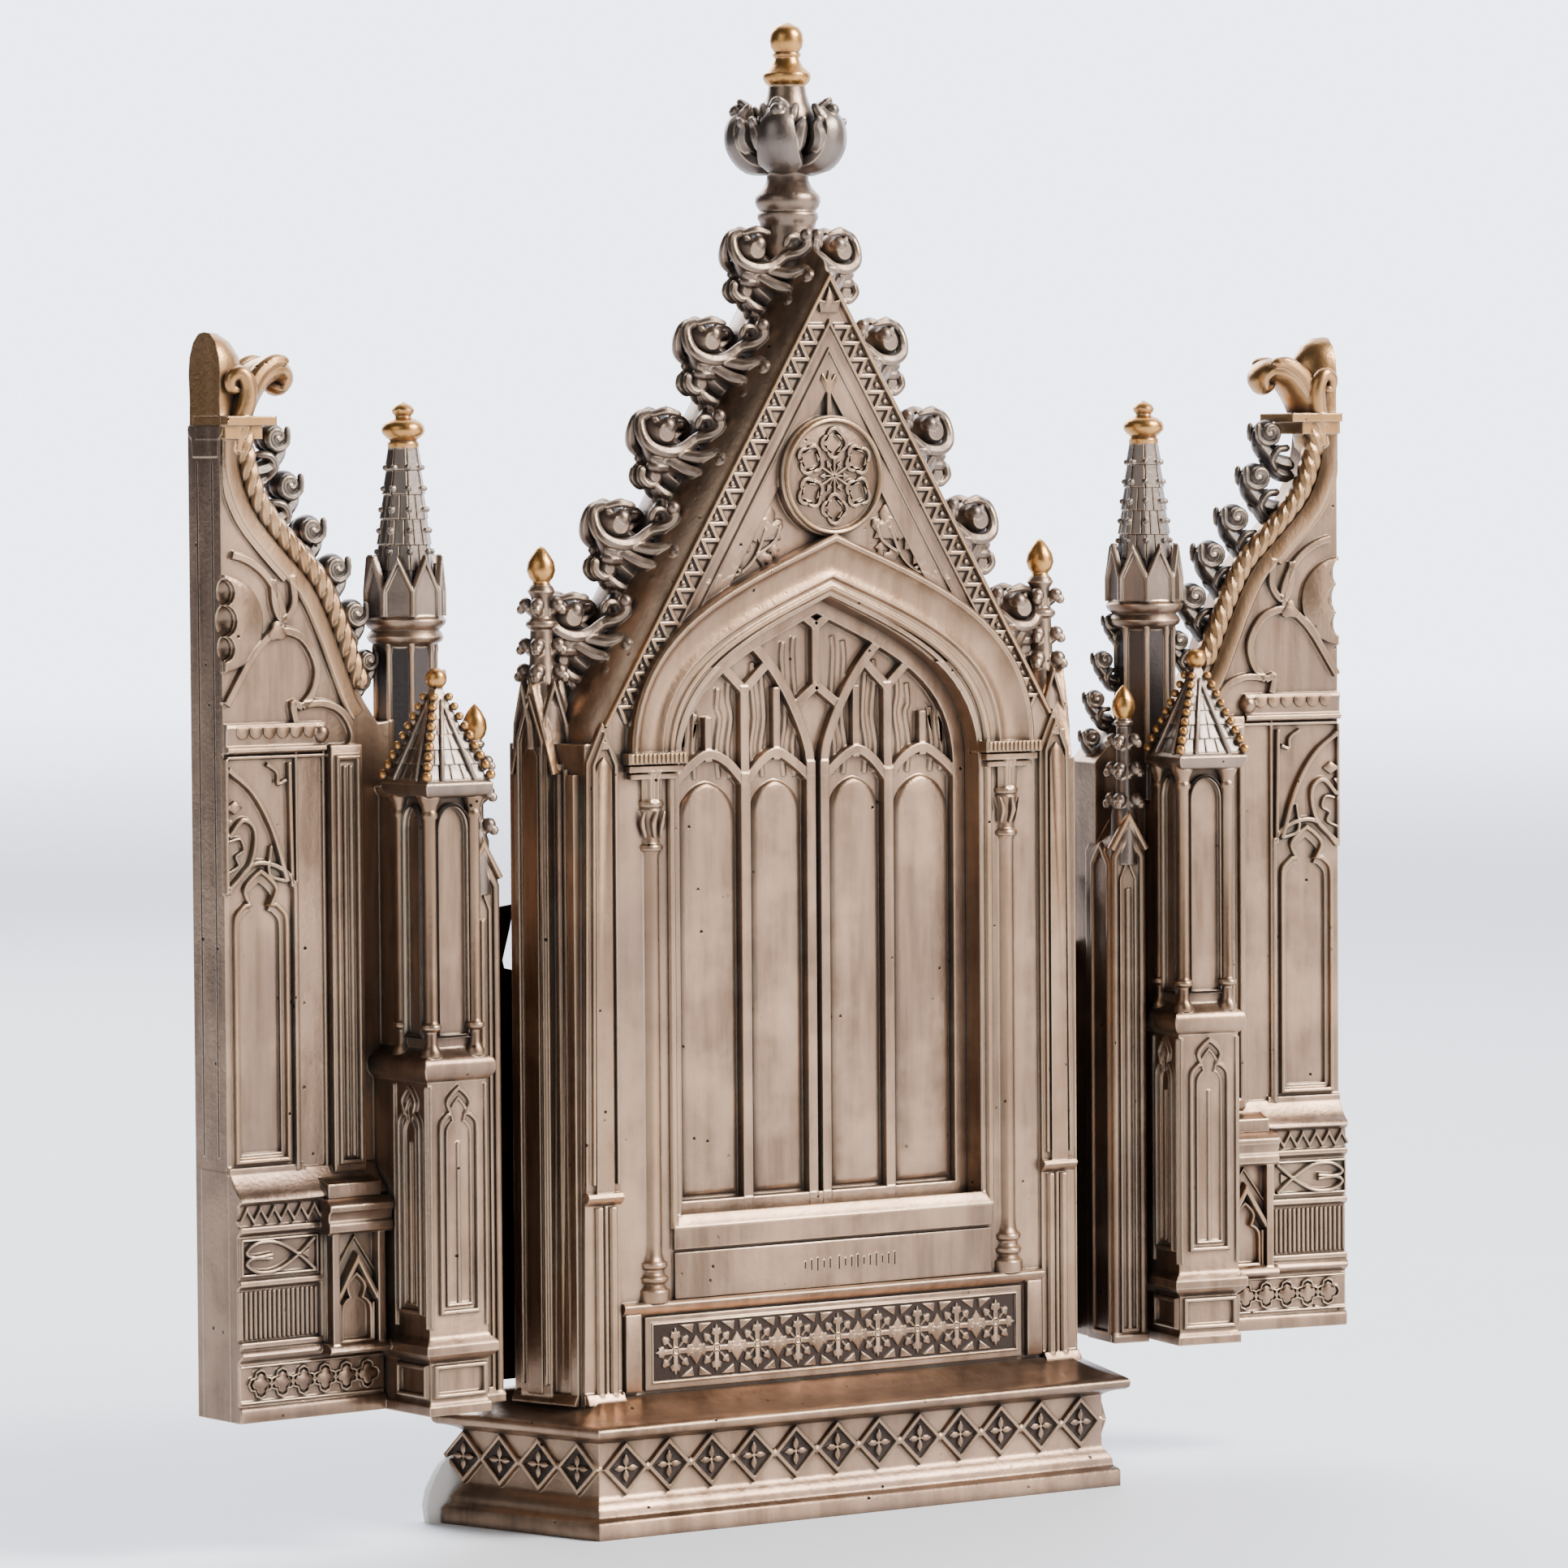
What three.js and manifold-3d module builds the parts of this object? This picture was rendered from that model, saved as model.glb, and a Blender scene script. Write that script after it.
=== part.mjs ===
// Gothic triptych altarpiece in cold-cast bronze: a gabled centre shrine on a plinth, seen best from
// its blind-window back, with two cathedral-front wings on strip hinges.
// Units are millimetres. +X right, +Y towards the open front, +Z up, origin under the middle of the box.
import * as THREE from 'three';
import Module from 'manifold-3d';

const wasm = await Module();
wasm.setup();
const { Manifold } = wasm;
const deg = Math.PI / 180;

// ---------------------------------------------------------------- driving dimensions
const HEIGHT = 300;                 // floor to the tip of the finial
const MID_Y = 13;                   // middle of the shrine's depth
const FRONT_Y = 26;                 // front face of the shrine; the back face is y = 0
const SIDE_Y = 16.6;                // where the shrine is widest
const EMBED = 0.6;                  // how far a relief is sunk into the face that carries it

const body = { foot: 59.6, head: 58, wide: 65.3, front: 59, z0: 26, z1: 156 };
const gable = { foot: 54.3, footZ: 159.4, apexZ: 249.5, lip: 2.6, lipY: 5.5 };
const plinth = {
  corner: 63, back: -11.3, front: 27.3, lean: 71 * deg,
  bandLow: 8.4, bandHigh: 18.6, ledgeTop: 22.6,
};
const hood = { half: 48, spring: 153.8, apex: 196, width: 10.5 };
const opening = { half: 36.4, spring: 149, apex: 184.2, sill: 60.4, depth: 6.6, tracery: 4.7 };
const medallion = { z: 208.4, r: 12.2 };
const column = { x: 42.9, y: 1, foot: 45.4, head: 149.6, r: 2.1 };
const crocket = { count: 5, y: 13.5, first: 172, last: 246 };

const hinge = {
  x: 67.4, y: 26.3, barrel: 1.6, bore: 1.0, pin: 0.7,
  z0: 28, z1: 110.6, knuckles: 5, tongueTop: 123.4, gap: 0.3,
};
const wingSwing = { left: 4.5 * deg, right: 9 * deg };    // how far past straight out each wing rests
const wing = {
  close: 67.3, end: 9.6, back: 0.3, wall: 11.6, base: 27, ledge: 70.5,
};
const turret = { u0: 19.2, u1: 33, v: 29.8, roofU: 26.6, roofV: 24.6, eave: 7.4 };
const tower = { u: 22.8, v: 8.8, r: 6, crown: 7.9, steeple: 192, top: 214.4 };

// ---------------------------------------------------------------- solids from plain lists
function solid(points, faces) {
  return new Manifold(new wasm.Mesh({
    numProp: 3,
    vertProperties: new Float32Array(points.flat()),
    triVerts: new Uint32Array(faces.flat()),
  }));
}

// A skin over rings with the same number of points, closed by a flat cap at each end.
function loft(rings) {
  const n = rings[0].length;
  const points = rings.flat();
  const faces = [];
  for (let i = 0; i + 1 < rings.length; i++) {
    for (let j = 0; j < n; j++) {
      const a = i * n + j, b = i * n + (j + 1) % n;
      faces.push([a, b, b + n], [a, b + n, a + n]);
    }
  }
  const last = (rings.length - 1) * n;
  for (const [a, b, c] of THREE.ShapeUtils.triangulateShape(flattened(rings[0]), [])) faces.push([c, b, a]);
  for (const [a, b, c] of THREE.ShapeUtils.triangulateShape(flattened(rings.at(-1)), [])) {
    faces.push([last + a, last + b, last + c]);
  }
  const made = solid(points, faces);
  return made.volume() < 0 ? solid(points, faces.map(([a, b, c]) => [c, b, a])) : made;
}

// A ring seen square to its own plane, turning anticlockwise.
function flattened(ring) {
  const v = ring.map((p) => new THREE.Vector3(...p));
  const normal = new THREE.Vector3();
  for (let i = 0; i < v.length; i++) normal.add(v[i].clone().cross(v[(i + 1) % v.length]));
  normal.normalize();
  const up = Math.abs(normal.z) < 0.9 ? new THREE.Vector3(0, 0, 1) : new THREE.Vector3(1, 0, 0);
  const u = up.clone().cross(normal).normalize();
  const w = normal.clone().cross(u);
  return v.map((p) => new THREE.Vector2(p.dot(u), p.dot(w)));
}

const join = (parts) => Manifold.union(parts.flat(Infinity));
const cut = (whole, parts) => whole.subtract(join([parts]));

// Revolved about the vertical through (x, y); the profile lists [radius, height] upwards.
function turned(profile, [x, y], sides = 10, phase = 0, stretch = [1, 1]) {
  const points = [], faces = [];
  const rows = profile.map(([r, z]) => {
    const row = points.length;
    if (r < 1e-6) {
      points.push([x, y, z]);
      return { row, pole: true };
    }
    for (let j = 0; j < sides; j++) {
      const a = phase + j / sides * 2 * Math.PI;
      points.push([x + r * Math.cos(a) * stretch[0], y + r * Math.sin(a) * stretch[1], z]);
    }
    return { row, pole: false };
  });
  rows.slice(1).forEach((hi, i) => {
    const lo = rows[i];
    for (let j = 0; j < sides; j++) {
      const k = (j + 1) % sides;
      if (!lo.pole) faces.push([lo.row + j, lo.row + k, hi.pole ? hi.row : hi.row + k]);
      if (!hi.pole) faces.push([lo.pole ? lo.row : lo.row + j, hi.row + k, hi.row + j]);
    }
  });
  for (const [end, z, turn] of [[rows[0], profile[0][1], 1], [rows.at(-1), profile.at(-1)[1], -1]]) {
    if (end.pole) continue;
    const hub = points.push([x, y, z]) - 1;
    for (let j = 0; j < sides; j++) {
      const a = end.row + j, b = end.row + (j + 1) % sides;
      faces.push(turn > 0 ? [hub, b, a] : [hub, a, b]);
    }
  }
  return solid(points, faces);
}

// ---------------------------------------------------------------- work on upright faces
// A face has a foot point, a direction along it and an outward direction, all in plan.
// Points on it are [along, up] and stand out by `out`.
class Face {
  constructor([x, y], along, outward) {
    this.o = [x, y];
    this.a = new THREE.Vector2(...along).normalize();
    this.n = new THREE.Vector2(...outward).normalize();
  }

  at([s, z], out) {
    return [this.o[0] + this.a.x * s + this.n.x * out, this.o[1] + this.a.y * s + this.n.y * out, z];
  }

  // An outline raised from `from` to `to`; the raised end may be drawn in by `taper`.
  plate(outline, to, from = -EMBED, taper = 0) {
    const mid = outline.reduce((m, p) => [m[0] + p[0] / outline.length, m[1] + p[1] / outline.length], [0, 0]);
    const top = outline.map(([s, z]) => {
      const r = Math.hypot(s - mid[0], z - mid[1]);
      const k = r > 0 ? Math.max(0.1, 1 - taper / r) : 1;
      return [mid[0] + (s - mid[0]) * k, mid[1] + (z - mid[1]) * k];
    });
    return loft([outline.map((p) => this.at(p, from)), top.map((p) => this.at(p, to))]);
  }

  box(s0, s1, z0, z1, to, from = -EMBED, taper = 0) {
    return this.plate([[s0, z0], [s1, z0], [s1, z1], [s0, z1]], to, from, taper);
  }

  // A moulding: section [[side, out], ...] carried along a path with mitred corners.
  mould(path, section, closed = false) {
    const n = path.length;
    const rings = path.map((p, i) => {
      const prev = path[(i - 1 + n) % n], next = path[(i + 1) % n];
      const before = i > 0 || closed ? dir(prev, p) : dir(p, next);
      const after = i < n - 1 || closed ? dir(p, next) : before;
      const side = [-(before[1] + after[1]), before[0] + after[0]];
      const len = Math.hypot(...side);
      const unit = side.map((v) => v / len);
      const mitre = 1 / Math.max(0.35, unit[1] * before[0] - unit[0] * before[1]);
      return section.map(([w, out]) => this.at([p[0] + unit[0] * w * mitre, p[1] + unit[1] * w * mitre], out));
    });
    if (!closed) return loft(rings);
    const half = Math.floor(n / 2);
    return join([loft(rings.slice(0, half + 1)), loft([...rings.slice(half), rings[0]])]);
  }

  bar(path, width, out, closed = false) {
    const h = width / 2;
    return this.mould(path, [[-h, -EMBED], [h, -EMBED], [h / 2, out], [-h / 2, out]], closed);
  }
}

const dir = (p, q) => {
  const l = Math.hypot(q[0] - p[0], q[1] - p[1]);
  return [(q[0] - p[0]) / l, (q[1] - p[1]) / l];
};

// A pointed arch from the left spring over the apex to the right spring: upright at its foot,
// with `tip` degrees of slope left at the apex.
function archPath(half, spring, apex, tip = 20, steps = 7, cx = 0) {
  const rise = apex - spring;
  const reach = half * 0.55;
  const curve = new THREE.CubicBezierCurve(
    new THREE.Vector2(-half, spring),
    new THREE.Vector2(-half, spring + rise * 0.56),
    new THREE.Vector2(-reach, apex - reach * Math.tan(tip * deg)),
    new THREE.Vector2(0, apex),
  );
  const left = curve.getPoints(steps).map((p) => [p.x, p.y]);
  const right = left.slice(0, -1).reverse().map(([x, z]) => [-x, z]);
  return [...left, ...right].map(([x, z]) => [x + cx, z]);
}

// The same arch with straight jambs down to a sill.
const archDoor = (half, sill, spring, apex, tip, steps, cx = 0) => [
  [cx - half, sill], ...archPath(half, spring, apex, tip, steps, cx), [cx + half, sill],
];

const arc = ([x, z], r, a0, a1, steps) => Array.from({ length: steps + 1 }, (_, i) => {
  const a = (a0 + (a1 - a0) * i / steps) * deg;
  return [x + r * Math.cos(a), z + r * Math.sin(a)];
});

// Four points with hollow sides.
const star = ([x, z], long, short) => Array.from({ length: 8 }, (_, i) => {
  const r = i % 2 ? short : long;
  return [x + r * Math.cos(i * 45 * deg), z + r * Math.sin(i * 45 * deg)];
});

// An outline of `lobes` round petals.
function foil([x, z], r, lobes, steps = 3) {
  const out = [];
  for (let i = 0; i < lobes; i++) {
    const a = i / lobes * 360;
    const c = [x + r * 0.55 * Math.cos(a * deg), z + r * 0.55 * Math.sin(a * deg)];
    out.push(...arc(c, r * 0.45, a - 80, a + 80, steps));
  }
  return out;
}

// A convex plan with each side moved outwards by its own distance.
function offset(plan, by) {
  const n = plan.length;
  const line = plan.map((p, i) => {
    const q = plan[(i + 1) % n], d = dir(p, q);
    const k = Array.isArray(by) ? by[i] : by;
    return { p: [p[0] + d[1] * k, p[1] - d[0] * k], d };
  });
  return line.map((b, i) => {
    const a = line[(i - 1 + n) % n];
    const det = a.d[0] * b.d[1] - a.d[1] * b.d[0];
    const t = ((b.p[0] - a.p[0]) * b.d[1] - (b.p[1] - a.p[1]) * b.d[0]) / det;
    return [a.p[0] + a.d[0] * t, a.p[1] + a.d[1] * t];
  });
}

// A stack of offset plans: levels list [height, side distance or distances].
const stack = (plan, levels) => loft(levels.map(([z, by]) => offset(plan, by).map(([x, y]) => [x, y, z])));

// A round limb through points, with a radius at each.
function limb(points, radii, sides = 5) {
  const v = points.map((p) => new THREE.Vector3(...p));
  const up = new THREE.Vector3();
  const rings = v.map((p, i) => {
    const t = v[Math.min(i + 1, v.length - 1)].clone().sub(v[Math.max(i - 1, 0)]).normalize();
    if (i === 0) up.set(0, 1, 0).cross(t).cross(t).negate();
    const side = t.clone().cross(up).normalize();
    up.copy(side.clone().cross(t).normalize());
    return Array.from({ length: sides }, (_, j) => {
      const a = j / sides * 2 * Math.PI;
      const spoke = side.clone().multiplyScalar(Math.cos(a)).addScaledVector(up, Math.sin(a));
      return p.clone().addScaledVector(spoke, radii[i]).toArray();
    });
  });
  return loft(rings);
}

const knob = ([x, y, z], r) => turned([[0, z - r], [r, z], [0, z + r]], [x, y], 4);

const bead = ([x, y, z], r, sides = 6) => turned(
  [[0, z - r], [r * 0.8, z - r * 0.6], [r, z + r * 0.1], [r * 0.75, z + r * 0.7], [0, z + r]], [x, y], sides);

// A leaf that rises from a slope and curls over with a fruit in its crook. It is drawn in the upright
// plane through `at` along `lean`, size 1 being about 10 mm.
function leaf(at, lean, size, plain = false) {
  const l = new THREE.Vector2(...lean).normalize();
  const put = ([o, z]) => [at[0] + l.x * o * size, at[1] + l.y * o * size, at[2] + z * size];
  const grow = (path, radii) => limb(path.map(put), radii.map((r) => r * size), 4);
  const curl = grow([[-3, -3], [3, -0.4], [6.2, 3.2], [4.4, 6.8], [2.2, 5.6]], [2.8, 3, 2.4, 1.7, 0.9]);
  if (plain) return [curl];
  return [curl, grow([[-2, -4], [4.4, -4.2], [7.6, -1]], [2.2, 2, 1.1])];
}

// ---------------------------------------------------------------- centre shrine
const back = new Face([0, 0], [1, 0], [0, -1]);
const front = new Face([0, FRONT_Y], [1, 0], [0, 1]);
const mirrored = (make) => [-1, 1].map(make);

function plinthSolid() {
  const side = (y) => plinth.corner + (y - plinth.back) / Math.tan(plinth.lean);
  const plan = [
    [-side(plinth.back), plinth.back], [side(plinth.back), plinth.back],
    [side(plinth.front), plinth.front], [-side(plinth.front), plinth.front],
  ];
  const by = (b, s, f) => [b, s, f, s];
  const mass = stack(plan, [
    [0, by(0, 0, 0)], [3.4, by(0, 0, 0)], [4.6, by(-0.8, -0.8, -0.6)], [6.4, by(-2.6, -2.4, -1.2)],
    [7.6, by(-3, -3, -1.5)], [plinth.bandLow, by(-3.6, -3.8, -1.8)], [plinth.bandHigh, by(-3.6, -3.8, -1.8)],
    [19.3, by(-2.6, -2.6, -1.2)], [20.2, by(-0.3, -0.3, -0.3)], [20.5, by(1.4, 1.2, 0.2)],
    [plinth.ledgeTop - 0.5, by(2, 1.5, 0.4)], [plinth.ledgeTop, by(1, 0.8, 0.2)],
    [24.6, by(-6.6, -4.4, -0.6)], [26.4, by(-10, -6.6, -1)],
  ]);
  const band = offset(plan, by(-3.6, -3.8, -1.8));
  const diamonds = [];
  const pitch = 10, mid = (plinth.bandHigh + plinth.bandLow) / 2, half = plinth.bandHigh - mid - 0.5;
  const lozenge = (face, s) => {
    const rim = [[s, mid - half], [s + pitch / 2 - 0.3, mid], [s, mid + half], [s - pitch / 2 + 0.3, mid]];
    return face.plate(rim, 0.9, -EMBED, 1);
  };
  const rear = new Face([0, band[0][1]], [1, 0], [0, -1]);
  for (let i = 0; i < 12; i++) diamonds.push(lozenge(rear, (i - 5.5) * pitch));
  const sides = mirrored((s) => {
    const [from, to] = s < 0 ? [band[0], band[3]] : [band[1], band[2]];
    const d = dir(from, to);
    const face = new Face(from, d, [s * Math.abs(d[1]), -Math.abs(d[0])]);
    return [0.43, 1.43, 2.43, 3.43].map((k) => lozenge(face, k * pitch));
  });
  const keep = stack(band, [[plinth.bandLow, by(1, 1, 0)], [plinth.bandHigh, by(1, 1, 0)]]);
  return [mass, diamonds, join([sides]).intersect(keep)];
}

const gableHalf = Math.atan2(gable.foot, gable.apexZ - gable.footZ);
// The two slopes of the gable, moved inwards by `inset`, measured square to them.
const slopes = (inset) => [
  [-gable.foot + inset / Math.cos(gableHalf), gable.footZ],
  [0, gable.apexZ - inset / Math.sin(gableHalf)],
  [gable.foot - inset / Math.cos(gableHalf), gable.footZ],
];
const pediment = (inset) => {
  const [l, top, r] = slopes(inset);
  return [[l[0], 148], [r[0], 148], r, top, l];
};

function bodySolid() {
  const plan = (z, corner) => [
    [-corner, 0], [corner, 0], [body.wide, SIDE_Y], [body.front, FRONT_Y], [-body.front, FRONT_Y], [-body.wide, SIDE_Y],
  ].map(([x, y]) => [x, y, z]);
  const trunk = loft([plan(body.z0 - 2, body.foot), plan(body.z1, body.head)]);
  const roof = loft([[0, 0], [gable.lipY, -gable.lip], [FRONT_Y - gable.lipY, -gable.lip], [FRONT_Y, 0]]
    .map(([y, inset]) => pediment(inset).map(([x, z]) => [x, y, z])));
  return [trunk, roof];
}

function gableRelief() {
  const fillets = [[0.7, 1.2], [5.2, 1.1]].map(([inset, w]) => {
    const [l, top, r] = slopes(inset);
    return back.bar([l, top, r], w, 0.7);
  });
  const teeth = [];
  const count = 11;
  mirrored((s) => {
    for (let i = 0; i < count; i++) {
      const row = (inset, k) => {
        const [l, top] = slopes(inset);
        return [s * -(l[0] + (top[0] - l[0]) * k), l[1] + (top[1] - l[1]) * k];
      };
      const k = (i + 0.7) / (count + 1);
      teeth.push(back.plate([row(1.5, k), row(1.5, k + 0.066), row(4.5, k + 0.033)], 0.7));
    }
  });
  return [fillets, teeth];
}

function windowRelief() {
  const pane = new Face([0, opening.depth], [1, 0], [0, -1]);
  const rise = opening.depth - opening.tracery;
  const frame = archDoor(opening.half - 1.4, opening.sill + 1.4, 149.4, 182.8, 24, 6);
  const bars = [pane.bar(frame, 2.8, rise, true)];
  for (const x of [-17.4, 17.4]) bars.push(pane.bar([[x, opening.sill], [x, 166.2]], 2.6, rise));
  for (const x of [-1.6, 1.6]) bars.push(pane.bar([[x, opening.sill], [x, 150]], 2.3, rise));
  for (const [x, half] of [[-26, 6.6], [-9.5, 5.6], [9.5, 5.6], [26, 6.6]]) {
    const panel = [[x - half, 63.6], [x + half, 63.6], [x + half, 144], [x, 148], [x - half, 144]];
    bars.push(pane.plate(panel, 0.9, -EMBED, 1));
  }
  mirrored((s) => {
    const thin = (path) => bars.push(pane.bar(path.map(([x, z]) => [x * s, z]), 2, rise - 0.1));
    thin([[17.4, 146], [25.7, 152.6], [34.4, 147]]);
    thin([[17.4, 146], [9.7, 152.6], [1.4, 147]]);
    thin([[12.2, 170.4], [17.4, 165.8], [22.4, 170.4]]);
    thin([[25.7, 152], [25.7, 160.6]]);
    thin([[9.7, 152], [9.7, 166.6]]);
    thin([[1.5, 147], [3.6, 157.4], [9.4, 168.4], [16.6, 176]]);
  });
  for (const path of [[[-5.4, 162], [0, 166], [5.4, 162]], [[0, 165.6], [0, 179]]]) bars.push(pane.bar(path, 2, rise - 0.1));
  return bars;
}

function backRelief() {
  const parts = [gableRelief(), windowRelief()];
  // hood mould over the window
  parts.push(back.mould(archPath(hood.half - hood.width / 2, hood.spring, hood.apex - hood.width / 2, 22, 6), [
    [-5.3, -EMBED], [5.3, -EMBED], [5.3, 2.2], [3.4, 3], [1.6, 1.2], [-2.2, 1.1], [-3.6, 2], [-5.3, 1],
  ]));
  // round medallion with a six-foil of quatrefoils
  const ring = (r) => arc([0, medallion.z], r, 0, 360, 16).slice(1);
  parts.push(back.plate(ring(medallion.r), 1.6, -EMBED, 0.5));
  parts.push(back.mould(ring(medallion.r - 1), [[-0.8, 0.8], [0.8, 0.8], [0.5, 2.5], [-0.5, 2.5]], true));
  for (let i = 0; i < 6; i++) {
    const a = (i * 60 + 30) * deg;
    parts.push(back.plate(foil([6.6 * Math.cos(a), medallion.z + 6.6 * Math.sin(a)], 2.9, 4, 1), 2.2, 1));
  }
  mirrored((s) => {
    // column with its base, bell capital and fluted abacus
    parts.push(turned([[0, column.foot - 1], [3.4, column.foot - 1], [3.4, 47.2], [2.5, 48.6], [3.1, 50], [2.4, 51.6],
      [column.r, 54.4], [column.r, 134.4], [2.8, 135.2], [2.4, 136.4], [3, 143], [4, column.head], [3.6, 151]],
    [s * column.x, column.y], 8, Math.PI / 8));
    const x = s * 42.9;
    parts.push(back.box(x - 7.2, x + 7.2, 151, hood.spring, 2.8, -2), back.box(x - 6, x + 6, 149.6, 151.2, 1.9, -2));
    // corner strip: a set-off low down and a little gable on top
    const strip = (x) => s * x;
    parts.push(back.plate([[strip(51), 25], [strip(59.3), 25], [strip(58.9), 66], [strip(51), 66]], 2));
    const band = [[51, 60], [58.8, 60], [58, 152], [54.4, gable.footZ + 0.6], [50.8, 152]];
    parts.push(back.plate(band.map(([x, z]) => [strip(x), z]), 1.3));
    for (const x of [53.2, 56.6]) parts.push(back.bar([[strip(x), 28], [strip(x), 63]], 1.2, 2.6));
    parts.push(back.bar([[strip(54.5), 69], [strip(54.4), 151]], 1.1, 1.8));
    // small blocks beside the cross panel
    parts.push(back.box(s * 48.4 - 1.6, s * 48.4 + 1.6, 27, 42, 1.2));
  });
  // sill, plain band, cornice and the framed panel of crosses
  parts.push(back.bar([[-38.6, 55], [-38.6, 59.6], [38.6, 59.6], [38.6, 55]], 1.6, 0.9));
  parts.push(back.box(-38.4, 38.4, 45, 54.4, 0.7), back.box(-50.6, 50.6, 42.4, 44.8, 1.7));
  parts.push(back.bar([[-45, 28], [45, 28], [45, 41.4], [-45, 41.4]], 1.4, 1, true));
  for (let i = 0; i < 9; i++) {
    parts.push(back.plate(star([(i - 4) * 9.6, 34.7], 4.6, 1.5), 0.9));
  }
  return parts;
}

function cantedSides() {
  return mirrored((s) => {
    const from = [s * body.foot, 0], to = [s * body.wide, SIDE_Y], d = dir(from, to);
    const face = new Face([(from[0] + to[0]) / 2, SIDE_Y / 2], d, [s * Math.abs(d[1]), -Math.abs(d[0])]);
    const mid = 2.2;
    return [
      face.plate([[mid - 4, 25], [mid + 4, 25], [mid + 4, 158], [mid, 168.8], [mid - 4, 158]], 1.3, -6),
      face.plate([[mid - 2.6, 30], [mid + 2.6, 30], [mid + 2.6, 154], [mid, 161], [mid - 2.6, 154]], 1.8, 0),
      face.box(-8, -5.4, 25, 150, 1, -1.2), face.box(mid + 4.4, mid + 5.4, 25, 156, 0.9, -1.4),
      face.plate([[-8, 25], [8, 25], [8, 30], [-8, 30]], 1.2, -1.4, 0.2),
    ];
  });
}

function pinnacle(x, y) {
  const parts = [turned([[0, 150], [4.4, 150], [4.4, 165], [2.6, 167.4], [2, 181.6], [3.4, 183.6], [1.8, 186.4],
    [3, 189.8], [2.2, 192.4], [0, 195]], [x, y], 6)];
  for (const [z, r, size] of [[169, 4.3, 2], [174.8, 3.9, 1.8]]) {
    for (const a of [45, 135, 225, 315]) {
      parts.push(knob([x + r * Math.cos(a * deg), y + r * Math.sin(a * deg), z], size));
    }
  }
  return parts;
}

function crockets() {
  const slope = Math.cos(gableHalf);
  return mirrored((s) => Array.from({ length: crocket.count }, (_, i) => {
    const z = crocket.first + (crocket.last - crocket.first) * i / (crocket.count - 1);
    const x = s * (gable.apexZ - z + 4) * Math.tan(gableHalf);
    return leaf([x + s * 2.4 * slope, crocket.y, z + 2], [s, -0.15], 1.32 - i * 0.03);
  }));
}

function finial(x, y) {
  const parts = [turned([[0, 246], [5.4, 246], [5.4, 261.8], [6.8, 263.4], [6.6, 265.8], [4.2, 268.4],
    [4.2, 271.4], [6.2, 277], [3.6, 284.6], [3.5, 287], [5, 288.4], [4.7, 290.4],
    [2.4, 292.2], [3.4, 295.4], [2.9, 298.6], [0, HEIGHT]], [x, y], 8, Math.PI / 8)];
  for (let i = 0; i < 6; i++) {
    const a = (i * 60 + 15) * deg;
    parts.push(leaf([x + 4.4 * Math.cos(a), y + 4.4 * Math.sin(a), 275.5], [Math.cos(a), Math.sin(a)], 0.92, true));
  }
  return parts;
}

function shrine() {
  const nicheOut = archDoor(45.5, 31, 118, 166, 40, 8);
  const nicheIn = archDoor(41, 31, 118, 160, 40, 8);
  const leafSeat = (s) => loft([23.5, hinge.tongueTop + 0.6].map((z) => [
    [s * 51.6, FRONT_Y + 1, z], [s * 64, FRONT_Y + 1, z], [s * 64, FRONT_Y - 1.1, z], [s * 51.6, FRONT_Y - 1.1, z],
  ]));
  const shell = cut(join([bodySolid(), plinthSolid(), cantedSides()]), [
    back.plate(archDoor(opening.half, opening.sill, opening.spring, opening.apex, 24, 8), 4, -opening.depth),
    back.plate([[-36.6, 168], [36.6, 168], [0, 168 + 36.6 / Math.tan(gableHalf)]], 4, -0.8),
    mirrored((s) => back.box(s * column.x - 3.2, s * column.x + 3.2, column.foot, column.head + 1, 4, -3)),
    front.plate(nicheOut, 3, -2), front.plate(nicheIn, 3, -16),
    front.plate([[-27, 182], [27, 182], [0, 182 + 27 / Math.tan(gableHalf)]], 3, -0.8),
    mirrored(leafSeat),
  ]);
  return join([shell, backRelief(), crockets(), finial(0, MID_Y + 1),
    mirrored((s) => pinnacle(s * 60.4, 12.1))]);
}

// ---------------------------------------------------------------- wings
// A wing is drawn about its own hinge axis: u runs outwards, v stands out towards the façade side.
const onWing = (v) => new Face([0, -v], [1, 0], [0, -1]);

function wingBase() {
  const section = [
    [wing.back, wing.base], [15.6, wing.base], [15.6, 29.8], [15, 30.4], [15, 40.4], [16.2, 41.2], [16.2, 42.6], [14.9, 43.4],
    [14.9, 53], [15.6, 53.8], [15.6, 64.2], [16.2, 65], [16.2, 69.8], [15.6, wing.ledge], [wing.wall, 75.4], [wing.back, 75.4],
  ];
  const block = loft([34, wing.close].map((u) => section.map(([v, z]) => [u, -v, z])));
  const face = onWing(15);
  const parts = [block];
  for (let i = 0; i < 6; i++) parts.push(face.plate(star([38.4 + i * 4.95, 34.2], 2.2, 1.2), 0.5));
  for (let i = 0; i < 6; i++) parts.push(face.box(49.6 + i * 2.9, 51.2 + i * 2.9, 44.4, 52.6, 0.7));
  for (const [a, b] of [[56, 62.4], [62.4, 56]]) parts.push(face.bar([[49.4, a], [57.4, b], [66, a]], 1.2, 1.3));
  // bay post with its gabled niche
  const post = onWing(18.6);
  parts.push(post.box(34.6, 48, 40.6, 67, 0, -8));
  parts.push(post.box(34, 48.6, 66.6, 70.4, 0.8, -8), post.box(34, 48.6, 40.4, 42, 0.5, -8));
  parts.push(post.bar([[36.4, 50], [41.2, 58], [46.2, 50]], 1.3, 0.9), post.bar([[37.4, 42.4], [37.4, 50]], 1, 0.6),
    post.bar([[45.2, 42.4], [45.2, 50]], 1, 0.6));
  return parts;
}

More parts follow.
